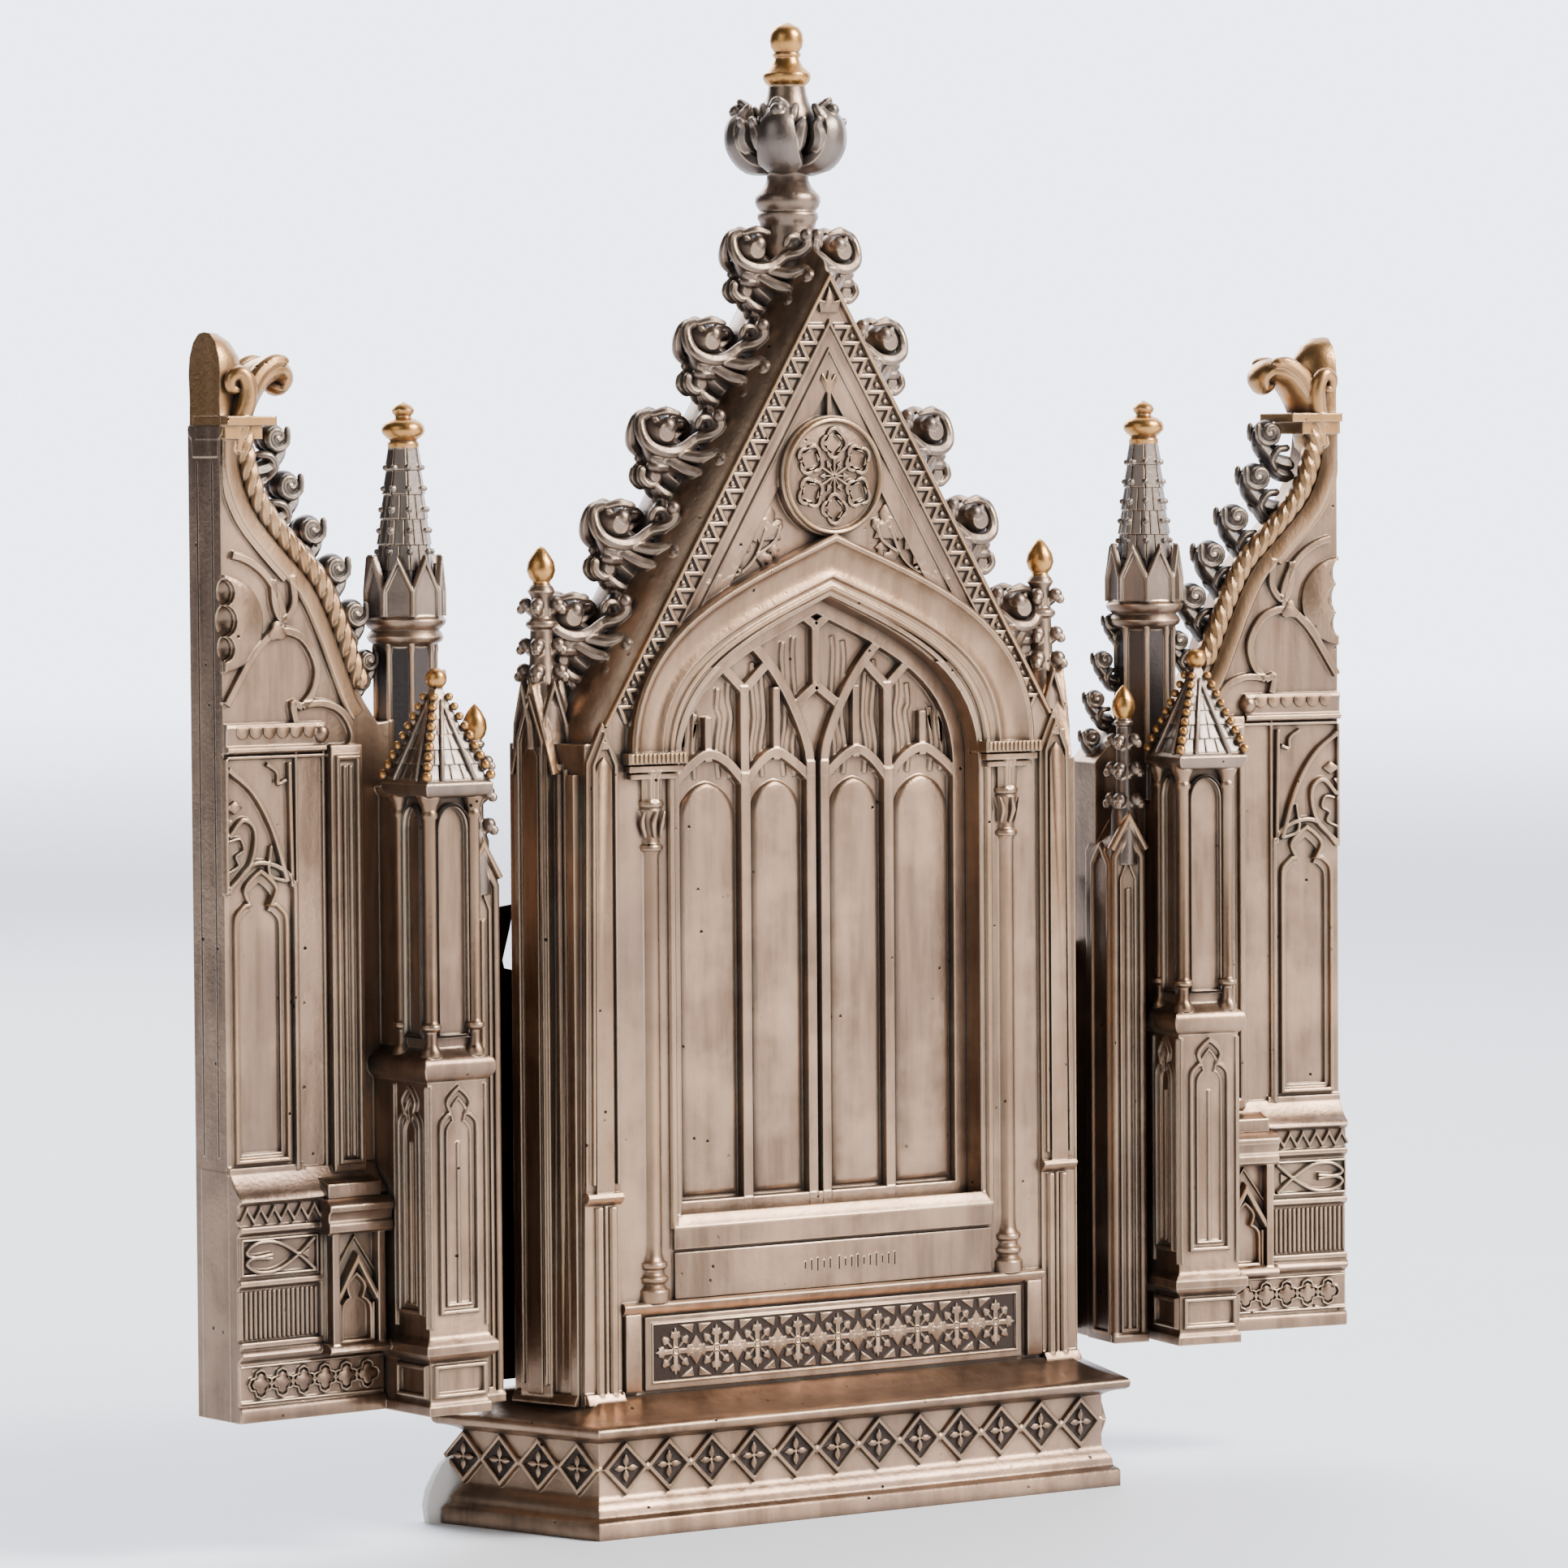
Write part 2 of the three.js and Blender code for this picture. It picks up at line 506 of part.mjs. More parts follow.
const ogee = [
  [63.2, 219], [62.4, 211], [59, 203.4], [53.2, 196.6], [46.6, 189.6], [42, 182.4], [38.2, 174], [35, 167], [31.4, 161],
];

function wingWall() {
  const face = onWing(wing.wall);
  const slab = face.plate([
    [wing.end, wing.base], [wing.close, wing.base], [wing.close, 219.4], ...ogee,
    [28, 164], [17.6, 180], [14.4, 168], [wing.end, 150],
  ].reverse(), 0, wing.back - wing.wall);
  const parts = [slab];
  const bar = (path, w = 1.9, out = 0.9) => parts.push(face.bar(path, w, out));
  // blind lancet, the tracery over it and the pilaster beside it
  parts.push(face.bar(archDoor(5.8, 77.4, 122, 133, 45, 3, 59.4), 1.4, 0.9, true));
  bar([[66.4, 152.8], [61, 148], [56.4, 140], [51.8, 131]]);
  bar([[66.4, 130], [61.6, 134.8], [60.8, 141.4], [63.6, 143.4], [66.4, 140]], 1.5);
  bar([[51.4, 75], [51.4, 156]]);
  bar([[57.4, 156], [54.4, 151.6], [51.6, 146]], 1.4);
  parts.push(face.box(36.6, 43.8, 74, 157, 2.2, -EMBED, 0.4));
  // string course and the panel in the half gable
  parts.push(face.mould([[44.8, 159.2], [67.2, 159.2]],
    [[-2.8, -EMBED], [2.6, -EMBED], [2.4, 1.4], [-1.4, 1], [-2, 1.8], [-2.8, 1.4]]));
  bar([[50.2, 163], [44.4, 165.4], [39, 161.6], [39.2, 156.8]]);
  bar([[50, 163.6], [46.2, 168.6], [48, 176.6], [54.6, 180], [59.8, 175.4], [66.2, 166]]);
  bar([[54.8, 180], [56.4, 190], [61.6, 197.6], [66.6, 199.2]]);
  parts.push(face.plate([[67.2, 193.8], [62, 192.4], [58.8, 187.6], [60.2, 181.6], [67.2, 170.4]], 1.1));
  // raised fillet and rope along the half gable, with a leafy ridge and its crockets behind
  parts.push(face.bar(ogee.slice(0, 8).map(([u, z]) => [Math.min(u + 3.4, 66), z - 2]), 2.2, 1));
  parts.push(limb(ogee.slice(0, 8).map(([u, z]) => [u - 0.6, -wing.wall + 0.2, z + 0.3]), ogee.map(() => 2), 6));
  const ridge = [[57.6, 215], [54.6, 208], [49, 200.4], [42.4, 192.6], [37.6, 184], [33.8, 174]];
  parts.push(limb(ridge.map(([u, z]) => [u, -7.4, z]), [3, 3.6, 3.6, 3.6, 3.4, 2.6], 5));
  for (const [u, z, size] of [[52.6, 216, 3.3], [49.4, 207, 3.4], [44.8, 198.6, 3.3], [39, 191, 3.3], [34.8, 182, 2.8]]) {
    parts.push(bead([u, -7.6, z], size), limb([[u + 6, -7.6, z - 4.6], [u, -7.6, z - 1]], [2.6, 2.8], 5));
  }
  for (const [u, z] of [[16.4, 178], [14.4, 170], [12.2, 161.4], [10.6, 153]]) parts.push(knob([u, -6.4, z], 2.8));
  return parts;
}

// Half of the crowning finial: the two halves meet when the wings are closed.
function wingFinial() {
  const whole = turned([[0, 212], [5.9, 212], [5.9, 222], [5.5, 227.6], [4.4, 232], [2.6, 235.4], [0, 237]],
    [wing.close, -6.9], 12, 0, [1.38, 1.1]);
  const keep = onWing(wing.back).box(40, wing.close, 200, 240, 14, 0);
  const roll = (v, r) => limb([[62.8, v, 221], [62.8, v, 226], [60, v, 229.4], [57.6, v, 227.8]], [r, r, r, r * 0.8], 5);
  return [
    whole.intersect(keep), onWing(14).box(54, wing.close, 219, 221, 0, -12),
    limb([[61, -7.8, 220.4], [59.4, -7.8, 224.4], [56, -7.8, 228.6], [52.6, -7.8, 230]], [3.6, 3.6, 3, 1.6], 6),
    limb([[50.9, -3.6, 228.1], [50.9, -12.2, 228.7]], [1.7, 1.7], 6), roll(-12.4, 1.3),
  ];
}

function turretSolid() {
  const plan = [[turret.u0, -3], [turret.u0, -turret.v], [turret.u1, -turret.v], [turret.u1, -3]];
  const mass = stack(plan, [
    [wing.base, 1.1], [37.6, 0.9], [38.6, 2], [40.4, 2.2], [42.4, 0], [92.4, 0], [93.8, 1.6],
    [95.8, 1.6], [97.2, -0.6], [98, -2], [146.8, -2], [148, -0.6],
  ]);
  const parts = [mass];
  const faces = [
    [new Face([(turret.u0 + turret.u1) / 2, -turret.v], [1, 0], [0, -1]), 4.3],
    [new Face([turret.u1, -24.6], [0, 1], [1, 0]), 3.2],
    [new Face([turret.u0, -24.6], [0, -1], [-1, 0]), 3.2],
  ];
  for (const [face, half] of faces) parts.push(face.bar(archDoor(half, 46, 82, 90.4, 50, 3), 1.1, 0.7, true));
  for (const [u, v] of [[21.4, 28.4], [31.2, 28.4], [31.2, 19.4], [21, 19.4]]) {
    parts.push(turned([[0, 97], [1.7, 98.4], [1.2, 103], [1.2, 143.6], [2.3, 147.4], [0, 148.6]], [u, -v], 5));
  }
  const eave = (half, z, u = turret.roofU, v = turret.roofV) => [
    [u - half, -v - half, z], [u + half, -v - half, z], [u + half, -v + half, z], [u - half, -v + half, z],
  ];
  parts.push(loft([eave(6.4, 147), eave(turret.eave, 148.4), eave(turret.eave, 150), eave(0.8, 168.4)]));
  parts.push(bead([turret.roofU, -turret.roofV, 169.6], 2.2));
  for (const [a, b] of [[-1, -1], [1, -1], [1, 1], [-1, 1]]) {
    const hip = [[turret.eave - 0.2, 150.2], [turret.eave - 6.6, 168]];
    parts.push(limb(hip.map(([r, z]) => [turret.roofU + a * r, -turret.roofV + b * r, z]), [0.9, 0.8], 4));
  }
  return parts;
}

function towerSolid() {
  const at = [tower.u, -tower.v];
  const parts = [turned([
    [0, 146], [tower.r, 146], [tower.r, 177.6], [tower.crown, 179.4], [tower.crown, 181], [7.4, 181.6], [7.4, 186.8],
    [5.6, tower.steeple], [2.9, tower.top], [3.1, 215.4], [4.3, 217], [4.2, 219], [1.9, 220.4], [2.2, 221.8], [0, 223.8],
  ], at, 8, Math.PI / 8)];
  for (let i = 0; i < 8; i++) {
    const a = i * 45 * deg;
    const out = [Math.cos(a), Math.sin(a)];
    const face = new Face([at[0] + 6.8 * out[0], at[1] + 6.8 * out[1]], [-out[1], out[0]], out);
    parts.push(face.plate([[-2.9, 181.4], [2.9, 181.4], [2.9, 186.6], [0, 192.2], [-2.9, 186.6]], 0.6, -1.6));
  }
  return parts;
}

function hingeSidePilaster() {
  const face = onWing(20.6);
  const at = [13, -18.6];
  return [
    face.plate([[8.8, wing.base], [17, wing.base], [17, 129.6], [12.9, 136.4], [8.8, 129.6]], 0, -12),
    face.bar([[10.4, 30], [10.4, 126], [12.9, 130.4], [15.4, 126], [15.4, 30]], 1.1, 0.5, true),
    turned([[0, 128], [2.6, 128], [2.2, 138.4], [3.6, 141], [1.9, 144], [3.4, 148], [1.6, 152.6],
      [1.6, 157.4], [2.8, 160], [0, 164.6]], at, 5),
  ];
}

function wingSolid() {
  const inner = new Face([0, -wing.back], [1, 0], [0, 1]);
  const whole = join([wingBase(), wingWall(), wingFinial(), turretSolid(), towerSolid(), hingeSidePilaster()]);
  const leafSeat = onWing(wing.back).box(wing.end - 3, 15.2, wing.base - 3, hinge.tongueTop + 0.6, 1.1, -1);
  return cut(whole, [
    onWing(wing.wall).plate(archDoor(4.9, 78.2, 122, 131.4, 45, 4, 59.4), 3, -0.7),
    onWing(18.6).plate(archDoor(3, 42.4, 47.6, 52.4, 45, 3, 41.2), 3, -1.4),
    [[189.2, 2.5], [184.2, 2.9], [179.6, 2.3]].map(([z, r]) => bead([wing.close + 0.4, -wing.wall - 0.6, z], r)),
    inner.plate(archDoor(15, 40, 112, 136, 40, 6, 42), 2, -1),
    leafSeat,
  ]);
}

// ---------------------------------------------------------------- hinges
// One leaf lies in the plane of the hinge axis and reaches from the barrel; its end rises above the
// barrel as a waisted tongue. `side` is +1 for the leaf on the shrine's side of the axis.
function leafSolid(toward, thicknessAt, knuckles) {
  const reach = 14.6, step = (hinge.z1 - hinge.z0) / hinge.knuckles;
  const x = (r) => toward * r;
  const [y0, y1] = thicknessAt;
  const outline = [
    [x(2.2), hinge.z0], [x(reach), hinge.z0], [x(reach), 108.6], [x(5.6), hinge.z1], [x(5.2), hinge.z1 + 1.6], [x(6.8), 118],
    [x(8), hinge.tongueTop], [x(3.2), hinge.tongueTop - 0.6], [x(1.4), 120.8], [x(2), 116.4], [x(3), hinge.z1 + 1.6], [x(2.2), hinge.z1],
  ];
  const plate = loft([y0, y1].map((y) => outline.map(([u, z]) => [u, y, z])));
  const web = [], tubes = [], holes = [];
  for (let i = 0; i < hinge.knuckles; i++) {
    if (i % 2 !== knuckles) continue;
    const z0 = hinge.z0 + i * step + (i ? hinge.gap / 2 : 0), z1 = hinge.z0 + (i + 1) * step - (i < hinge.knuckles - 1 ? hinge.gap / 2 : 0);
    web.push(loft([y0, y1].map((y) => [[x(0.9), z0], [x(2.6), z0], [x(2.6), z1], [x(0.9), z1]].map(([u, z]) => [u, y, z]))));
    tubes.push(turned([[hinge.barrel, z0], [hinge.barrel, z1]], [0, 0], 10));
    holes.push(turned([[hinge.bore, z0 - 0.5], [hinge.bore, z1 + 0.5]], [0, 0], 8));
  }
  return cut(join([plate, web, tubes]), holes);
}

const pinSolid = () => turned([
  [hinge.barrel - 0.1, hinge.z0 - 1.2], [hinge.barrel - 0.1, hinge.z0 - 0.3], [hinge.pin, hinge.z0 - 0.3],
  [hinge.pin, hinge.z1 + 0.3], [hinge.barrel - 0.1, hinge.z1 + 0.3], [hinge.barrel - 0.3, hinge.z1 + 1.2],
], [0, 0], 8);

// ---------------------------------------------------------------- the painted fold at the front corner
function drapery() {
  const rows = [[0, 1], [4, 1.12], [9, 0.9], [13.4, 0.62]];
  const plan = [[-79, 28], [-78.4, 31.4], [-75.6, 33.2], [-73.4, 31], [-70.6, 33.4], [-67.6, 30.6], [-65, 32], [-63.6, 29], [-66, 27.7], [-74, 27.7]];
  return loft(rows.map(([z, k], i) => plan.map(([x, y]) => [-71 + (x + 71) * k + i * 0.4, 27.7 + (y - 27.7) * k, z])));
}

// ---------------------------------------------------------------- the assembly
const bronze = { color: 0x7a5f49, roughness: 0.42, metalness: 0.85 };
const darkBronze = { color: 0x2c241f, roughness: 0.45, metalness: 0.85 };
const white = { color: 0xe9e6df, roughness: 0.7, metalness: 0 };

// The outer skin: leaves that meet can close off little pockets, which are left out.
function outerSkin({ vertProperties: v, triVerts: t }) {
  const parent = Array.from({ length: v.length / 3 }, (_, i) => i);
  const root = (i) => {
    while (parent[i] !== i) i = parent[i] = parent[parent[i]];
    return i;
  };
  for (let i = 0; i < t.length; i += 3) {
    parent[root(t[i + 1])] = root(t[i]);
    parent[root(t[i + 2])] = root(t[i]);
  }
  const size = new Map();
  for (let i = 0; i < t.length; i += 3) size.set(root(t[i]), (size.get(root(t[i])) ?? 0) + 1);
  const main = [...size.entries()].sort((a, b) => b[1] - a[1])[0][0];
  return Array.from(t).filter((_, i) => root(t[i - i % 3]) === main);
}

function toMesh(name, manifold, finish) {
  const skin = manifold.getMesh();
  const geometry = new THREE.BufferGeometry();
  geometry.setAttribute('position', new THREE.BufferAttribute(new Float32Array(skin.vertProperties), 3));
  geometry.setIndex(outerSkin(skin));
  const mesh = new THREE.Mesh(geometry, new THREE.MeshStandardMaterial(finish));
  mesh.name = name;
  return mesh;
}

const group = new THREE.Group();
group.name = 'triptych_altarpiece';
group.add(toMesh('centre_shrine', shrine(), bronze));
group.add(toMesh('drapery_fold', drapery(), white));

const wingShape = wingSolid();
const leafOf = { fixed: leafSolid(-1, [-1, -0.2], 0), wing: leafSolid(1, [-1, -0.2], 1) };
for (const [side, sign] of [['left', -1], ['right', 1]]) {
  // Drawn for the right side; the left one is its mirror image.
  const place = (shape, swing) => {
    const turnedShape = shape.rotate([0, 0, -swing / deg]).translate([hinge.x, hinge.y, 0]);
    return sign < 0 ? turnedShape.mirror([1, 0, 0]) : turnedShape;
  };
  group.add(toMesh(`${side}_wing`, place(wingShape, wingSwing[side]), bronze));
  group.add(toMesh(`${side}_hinge_wing_leaf`, place(leafOf.wing, wingSwing[side]), darkBronze));
  group.add(toMesh(`${side}_hinge_fixed_leaf`, place(leafOf.fixed, 0), darkBronze));
  group.add(toMesh(`${side}_hinge_pin`, place(pinSolid(), 0), darkBronze));
}

// The origin goes under the middle of the whole.
const box = new THREE.Box3().setFromObject(group);
const shift = box.getCenter(new THREE.Vector3()).setZ(box.min.z).negate();
for (const mesh of group.children) mesh.geometry.translate(shift.x, shift.y, shift.z);

export default group;
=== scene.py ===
# %% [markdown]
# # A Gothic triptych in cold-cast bronze
# The real object is a shelf-sized altarpiece: a gabled centre shrine on a plinth, seen from its
# blind-window back, and two wings shaped as the halves of a cathedral front, swung open on strip
# hinges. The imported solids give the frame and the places. Here each casting is carved again in
# finer detail, and then patinated.

# %% Load the frame
import math

import bpy
import numpy as np
from mathutils import Matrix, Vector


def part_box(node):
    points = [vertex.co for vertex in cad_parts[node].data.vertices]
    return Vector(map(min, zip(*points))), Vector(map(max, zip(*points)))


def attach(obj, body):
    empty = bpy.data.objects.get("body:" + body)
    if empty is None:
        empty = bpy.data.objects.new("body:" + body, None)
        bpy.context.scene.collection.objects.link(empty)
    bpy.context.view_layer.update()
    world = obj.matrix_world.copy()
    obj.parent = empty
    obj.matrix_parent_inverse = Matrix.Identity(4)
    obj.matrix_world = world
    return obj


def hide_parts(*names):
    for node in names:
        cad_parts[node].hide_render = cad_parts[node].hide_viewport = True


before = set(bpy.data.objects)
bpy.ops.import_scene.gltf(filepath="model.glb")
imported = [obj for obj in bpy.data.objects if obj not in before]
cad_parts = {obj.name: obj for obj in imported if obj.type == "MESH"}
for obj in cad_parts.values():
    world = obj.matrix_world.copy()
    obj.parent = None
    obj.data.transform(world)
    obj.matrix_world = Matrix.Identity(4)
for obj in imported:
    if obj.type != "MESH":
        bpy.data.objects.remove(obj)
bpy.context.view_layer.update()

# %% [markdown]
# ## Where things are
# Everything is drawn in millimetres about the middle of the shrine's back face, because the carving
# is symmetric about it. The pins of the two hinges say where that drawing frame sits in the model.

# %% Drawing frame
MM = 0.001
HINGE_X, HINGE_Y = 67.4, 26.3          # the hinge axes in the drawing frame
FRONT_Y, SIDE_Y = 26.0, 16.6           # shrine's open front, and where it is widest
pins = [sum((Vector(c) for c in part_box(f"{side}_hinge_pin")), Vector()) / 2 for side in ("left", "right")]
SHIFT = np.array([(pins[0].x + pins[1].x) / 2 / MM, pins[1].y / MM - HINGE_Y, 0.0])
SWING = {"left": math.radians(4.5), "right": math.radians(9.0)}   # how far past straight each wing rests
print("drawing frame's shift in mm", SHIFT.round(3))


# %% [markdown]
# ## A small carving kit
# A casting is a heap of closed shells that overlap where a carver would let one form grow out of
# another. Each shell is a list of points and faces, so plain functions can make them: rings joined
# into a skin, a profile turned on a lathe, a limb along a curve. Shells are turned the right way out
# by the sign of their volume.

# %% Shells
def facing_out(points, faces):
    """The same shell with its faces pointing outwards."""
    points = np.asarray(points, float)
    corners = np.array([(f[0], b, c) for f in faces for b, c in zip(f[1:-1], f[2:])])
    a, b, c = (points[corners[:, k]] for k in range(3))
    volume = np.einsum("ij,ij->i", a, np.cross(b, c)).sum()
    return points, [f[::-1] for f in faces] if volume < 0 else faces


def loft(rings, round_trip=False):
    """A skin over rings of equally many points, closed by a cap at each end."""
    rings = np.asarray(rings, float)
    rows, n = rings.shape[:2]
    faces = []
    for i in range(rows if round_trip else rows - 1):
        lo, hi = i * n, (i + 1) % rows * n
        for j in range(n):
            k = (j + 1) % n
            faces.append((lo + j, lo + k, hi + k, hi + j))
    if not round_trip:
        faces += [tuple(range(n))[::-1], tuple((rows - 1) * n + j for j in range(n))]
    return facing_out(rings.reshape(-1, 3), faces)


def lathe(profile, centre, sides=24, turn=0.0, lobes=0, depth=0.0, stretch=(1, 1)):
    """Turns [radius, height] pairs about the upright through centre; lobes flute it by depth."""
    angle = turn + np.arange(sides) / sides * 2 * math.pi
    swell = 1 + depth * np.cos(lobes * angle)
    rings = [
        np.c_[centre[0] + max(r, 1e-3) * swell * np.cos(angle) * stretch[0],
              centre[1] + max(r, 1e-3) * swell * np.sin(angle) * stretch[1],
              np.full(sides, z)]
        for r, z in profile
    ]
    return loft(rings)


def smooth_path(points, steps=4):
    """A Catmull-Rom curve through the points."""
    p = np.asarray(points, float)
    p = np.vstack([2 * p[0] - p[1], p, 2 * p[-1] - p[-2]])
    out = []
    for i in range(1, len(p) - 2):
        for t in np.arange(steps) / steps:
            out.append(0.5 * (2 * p[i] + (p[i + 1] - p[i - 1]) * t
                              + (2 * p[i - 1] - 5 * p[i] + 4 * p[i + 1] - p[i + 2]) * t * t
                              + (3 * p[i] - p[i - 1] - 3 * p[i + 1] + p[i + 2]) * t ** 3))
    return np.array(out + [p[-2]])


def limb(points, radii, sides=8, steps=4, flat=1.0, across=(0, 1, 0)):
    """A tapering limb along a curve with rounded ends; flat thins it along `across`."""
    path = smooth_path(points, steps) if steps > 1 else np.asarray(points, float)
    r = np.interp(np.linspace(0, 1, len(path)), np.linspace(0, 1, len(radii)), radii)
    tangent = np.gradient(path, axis=0)
    tangent /= np.linalg.norm(tangent, axis=1)[:, None]
    path = np.vstack([path[0] - tangent[0] * r[0] * 0.8, path, path[-1] + tangent[-1] * r[-1] * 0.8])
    tangent = np.vstack([tangent[:1], tangent, tangent[-1:]])
    r = np.r_[r[0] * 0.45, r, r[-1] * 0.45]
    angle = np.arange(sides) / sides * 2 * math.pi
    rings, up = [], np.array(across, float)
    for c, t, radius in zip(path, tangent, r):
        side = np.cross(t, up)
        if np.linalg.norm(side) < 1e-3:
            side = np.cross(t, (1, 0.3, 0.2))
        side /= np.linalg.norm(side)
        lift = np.cross(side, t)
        rings.append(c + radius * (np.cos(angle)[:, None] * side + flat * np.sin(angle)[:, None] * lift))
    return loft(rings)


def ball(centre, radius, sides=12, rows=6, squash=1.0):
    bow = [math.pi * (k / rows - 0.5) for k in range(rows + 1)]
    return lathe([(radius * math.cos(a), centre[2] + radius * squash * math.sin(a)) for a in bow], centre,
                 sides)


def shells(*parts):
    """Flattens nested lists of shells into one list."""
    out = []
    for part in parts:
        out += [part] if isinstance(part, tuple) else shells(*part)
    return out


def moved(parts, by=(0, 0, 0), size=1.0, turn=0.0):
    """Shells scaled, turned about the upright and moved."""
    c, s = math.cos(turn), math.sin(turn)
    spin = np.array([[c, -s, 0], [s, c, 0], [0, 0, 1]])
    return [((p * size) @ spin.T + by, f) for p, f in shells(parts)]


def mirrored(parts):
    return [(p * (-1, 1, 1), [f[::-1] for f in faces]) for p, faces in shells(parts)]


def both(parts):
    """The shells and their mirror image."""
    return shells(parts, mirrored(parts))


# %% [markdown]
# ## Working on upright faces
# Most of the carving lies on flat upright faces. A face knows its foot point, its direction and its
# outward side in plan, so that relief can be drawn in plain "along, up, out" numbers: plates raised
# from an outline, and mouldings whose section is carried round mitred corners.

# %% Upright faces
class Face:
    def __init__(self, foot, along=(1, 0), outward=(0, -1)):
        self.foot = np.array([*foot, 0.0])
        self.along = np.array([*along, 0.0]) / math.hypot(*along)
        self.outward = np.array([*outward, 0.0]) / math.hypot(*outward)

    def at(self, s, z, out):
        return self.foot + self.along * s + self.outward * out + (0, 0, z)

    def plate(self, outline, out, root=-0.6, draw_in=0.0):
        """An outline raised from root to out, its face drawn in by draw_in."""
        o = np.asarray(outline, float)
        mid = o.mean(axis=0)
        reach = np.linalg.norm(o - mid, axis=1)[:, None]
        top = mid + (o - mid) * np.maximum(0.05, 1 - draw_in / np.maximum(reach, 1e-6))
        rings = [[self.at(s, z, root) for s, z in o]]
        if draw_in:
            rings.append([self.at(s, z, out - draw_in * 0.5) for s, z in o])
        return loft(rings + [[self.at(s, z, out) for s, z in top]])

    def box(self, s0, s1, z0, z1, out, root=-0.6, draw_in=0.0):
        return self.plate([(s0, z0), (s1, z0), (s1, z1), (s0, z1)], out, root, draw_in)

    def mould(self, path, section, closed=False):
        """A section of [side, out] pairs carried along a path."""
        p = np.asarray(path, float)
        n = len(p)
        step = np.roll(p, -1, axis=0) - p
        step /= np.maximum(np.linalg.norm(step, axis=1)[:, None], 1e-9)
        before, after = np.roll(step, 1, axis=0), step.copy()
        if not closed:
            before[0], after[-1] = step[0], step[-2]
        side = np.c_[-(before + after)[:, 1], (before + after)[:, 0]]
        side /= np.linalg.norm(side, axis=1)[:, None]
        mitre = 1 / np.maximum(0.35, side[:, 1] * before[:, 0] - side[:, 0] * before[:, 1])
        rings = [
            [self.at(*(p[i] + side[i] * w * mitre[i]), out) for w, out in section]
            for i in range(n)
        ]
        return loft(rings, round_trip=closed)

    def bar(self, path, width, out, closed=False, root=-0.6, crown=0.5):
        """A flat-topped bar with chamfered shoulders; crown is its top as a share of its width."""
        h, c = width / 2, width / 2 * crown
        return self.mould(path, [(-h, root), (h, root), (h, out * 0.35), (c, out), (-c, out),
                                 (-h, out * 0.35)], closed)

    def bead(self, path, radius, out=0.0, closed=False, sides=8):
        """A round bead lying on the face."""
        ring = [(radius * math.cos(a), out + radius * math.sin(a))
                for a in (2 * math.pi * (k + 0.5) / sides for k in range(sides))]
        return self.mould(path, ring, closed)


def arc(centre, radius, start, end, steps):
    a = np.radians(np.linspace(start, end, steps + 1))
    return np.c_[centre[0] + radius * np.cos(a), centre[1] + radius * np.sin(a)]


def arch(half, spring, apex, tip=20, steps=16, middle=0.0):
    """A pointed arch from spring to spring with `tip` degrees of slope left at its apex."""
    rise, reach = apex - spring, half * 0.55
    a, b = np.array([-half, spring]), np.array([-half, spring + rise * 0.56])
    c, d = np.array([-reach, apex - reach * math.tan(math.radians(tip))]), np.array([0.0, apex])
    t = np.linspace(0, 1, steps + 1)[:, None]
    left = a * (1 - t) ** 3 + 3 * b * t * (1 - t) ** 2 + 3 * c * t * t * (1 - t) + d * t ** 3
    path = np.vstack([left, left[-2::-1] * (-1, 1)])
    return path + (middle, 0)


def doorway(half, sill, spring, apex, tip=20, steps=16, middle=0.0):
    """The same arch with straight jambs down to a sill."""
    return np.vstack([[middle - half, sill], arch(half, spring, apex, tip, steps, middle),
                      [middle + half, sill]])


def trefoil_door(half, sill, spring, apex, middle=0.0):
    """A lancet whose head closes to a neck and opens again as a leaf."""
    neck, top = spring + (apex - spring) * 0.42, spring + (apex - spring) * 0.68
    left = smooth_path([(-half, spring), (-half * 0.95, spring + (neck - spring) * 0.55),
                        (-half * 0.62, neck - 0.2)], 3)
    leaf = smooth_path([(-half * 0.42, neck), (-half * 0.62, top), (-half * 0.34, top + (apex - top) * 0.6),
                        (0, apex)], 4)
    side = np.vstack([[-half, sill], left, leaf])
    return np.vstack([side, side[-2::-1] * (-1, 1)]) + (middle, 0)


def foil(centre, radius, lobes=4, steps=5, turn=0.0):
    """An outline of round petals."""
    out = []
    for k in range(lobes):
        a = turn + k / lobes * 360
        c = (centre[0] + radius * 0.52 * math.cos(math.radians(a)),
             centre[1] + radius * 0.52 * math.sin(math.radians(a)))
        out.append(arc(c, radius * 0.48, a - 100, a + 100, steps))
    return np.vstack(out)


def offset(plan, by):
    """A convex plan with each side moved outwards by its own distance."""
    p = np.asarray(plan, float)
    n = len(p)
    by = np.broadcast_to(by, (n,))
    step = np.roll(p, -1, axis=0) - p
    step /= np.linalg.norm(step, axis=1)[:, None]
    start = p + np.c_[step[:, 1], -step[:, 0]] * by[:, None]
    out = []
    for i in range(n):
        a, b = step[i - 1], step[i]
        gap = start[i] - start[i - 1]
        t = (gap[0] * b[1] - gap[1] * b[0]) / (a[0] * b[1] - a[1] * b[0])
        out.append(start[i - 1] + a * t)
    return np.array(out)


def stack(plan, levels):
    """A pile of courses: levels list (height, overhang of the sides)."""
    return loft([np.c_[offset(plan, by), np.full(len(plan), z)] for z, by in levels])


print("carving kit ready")
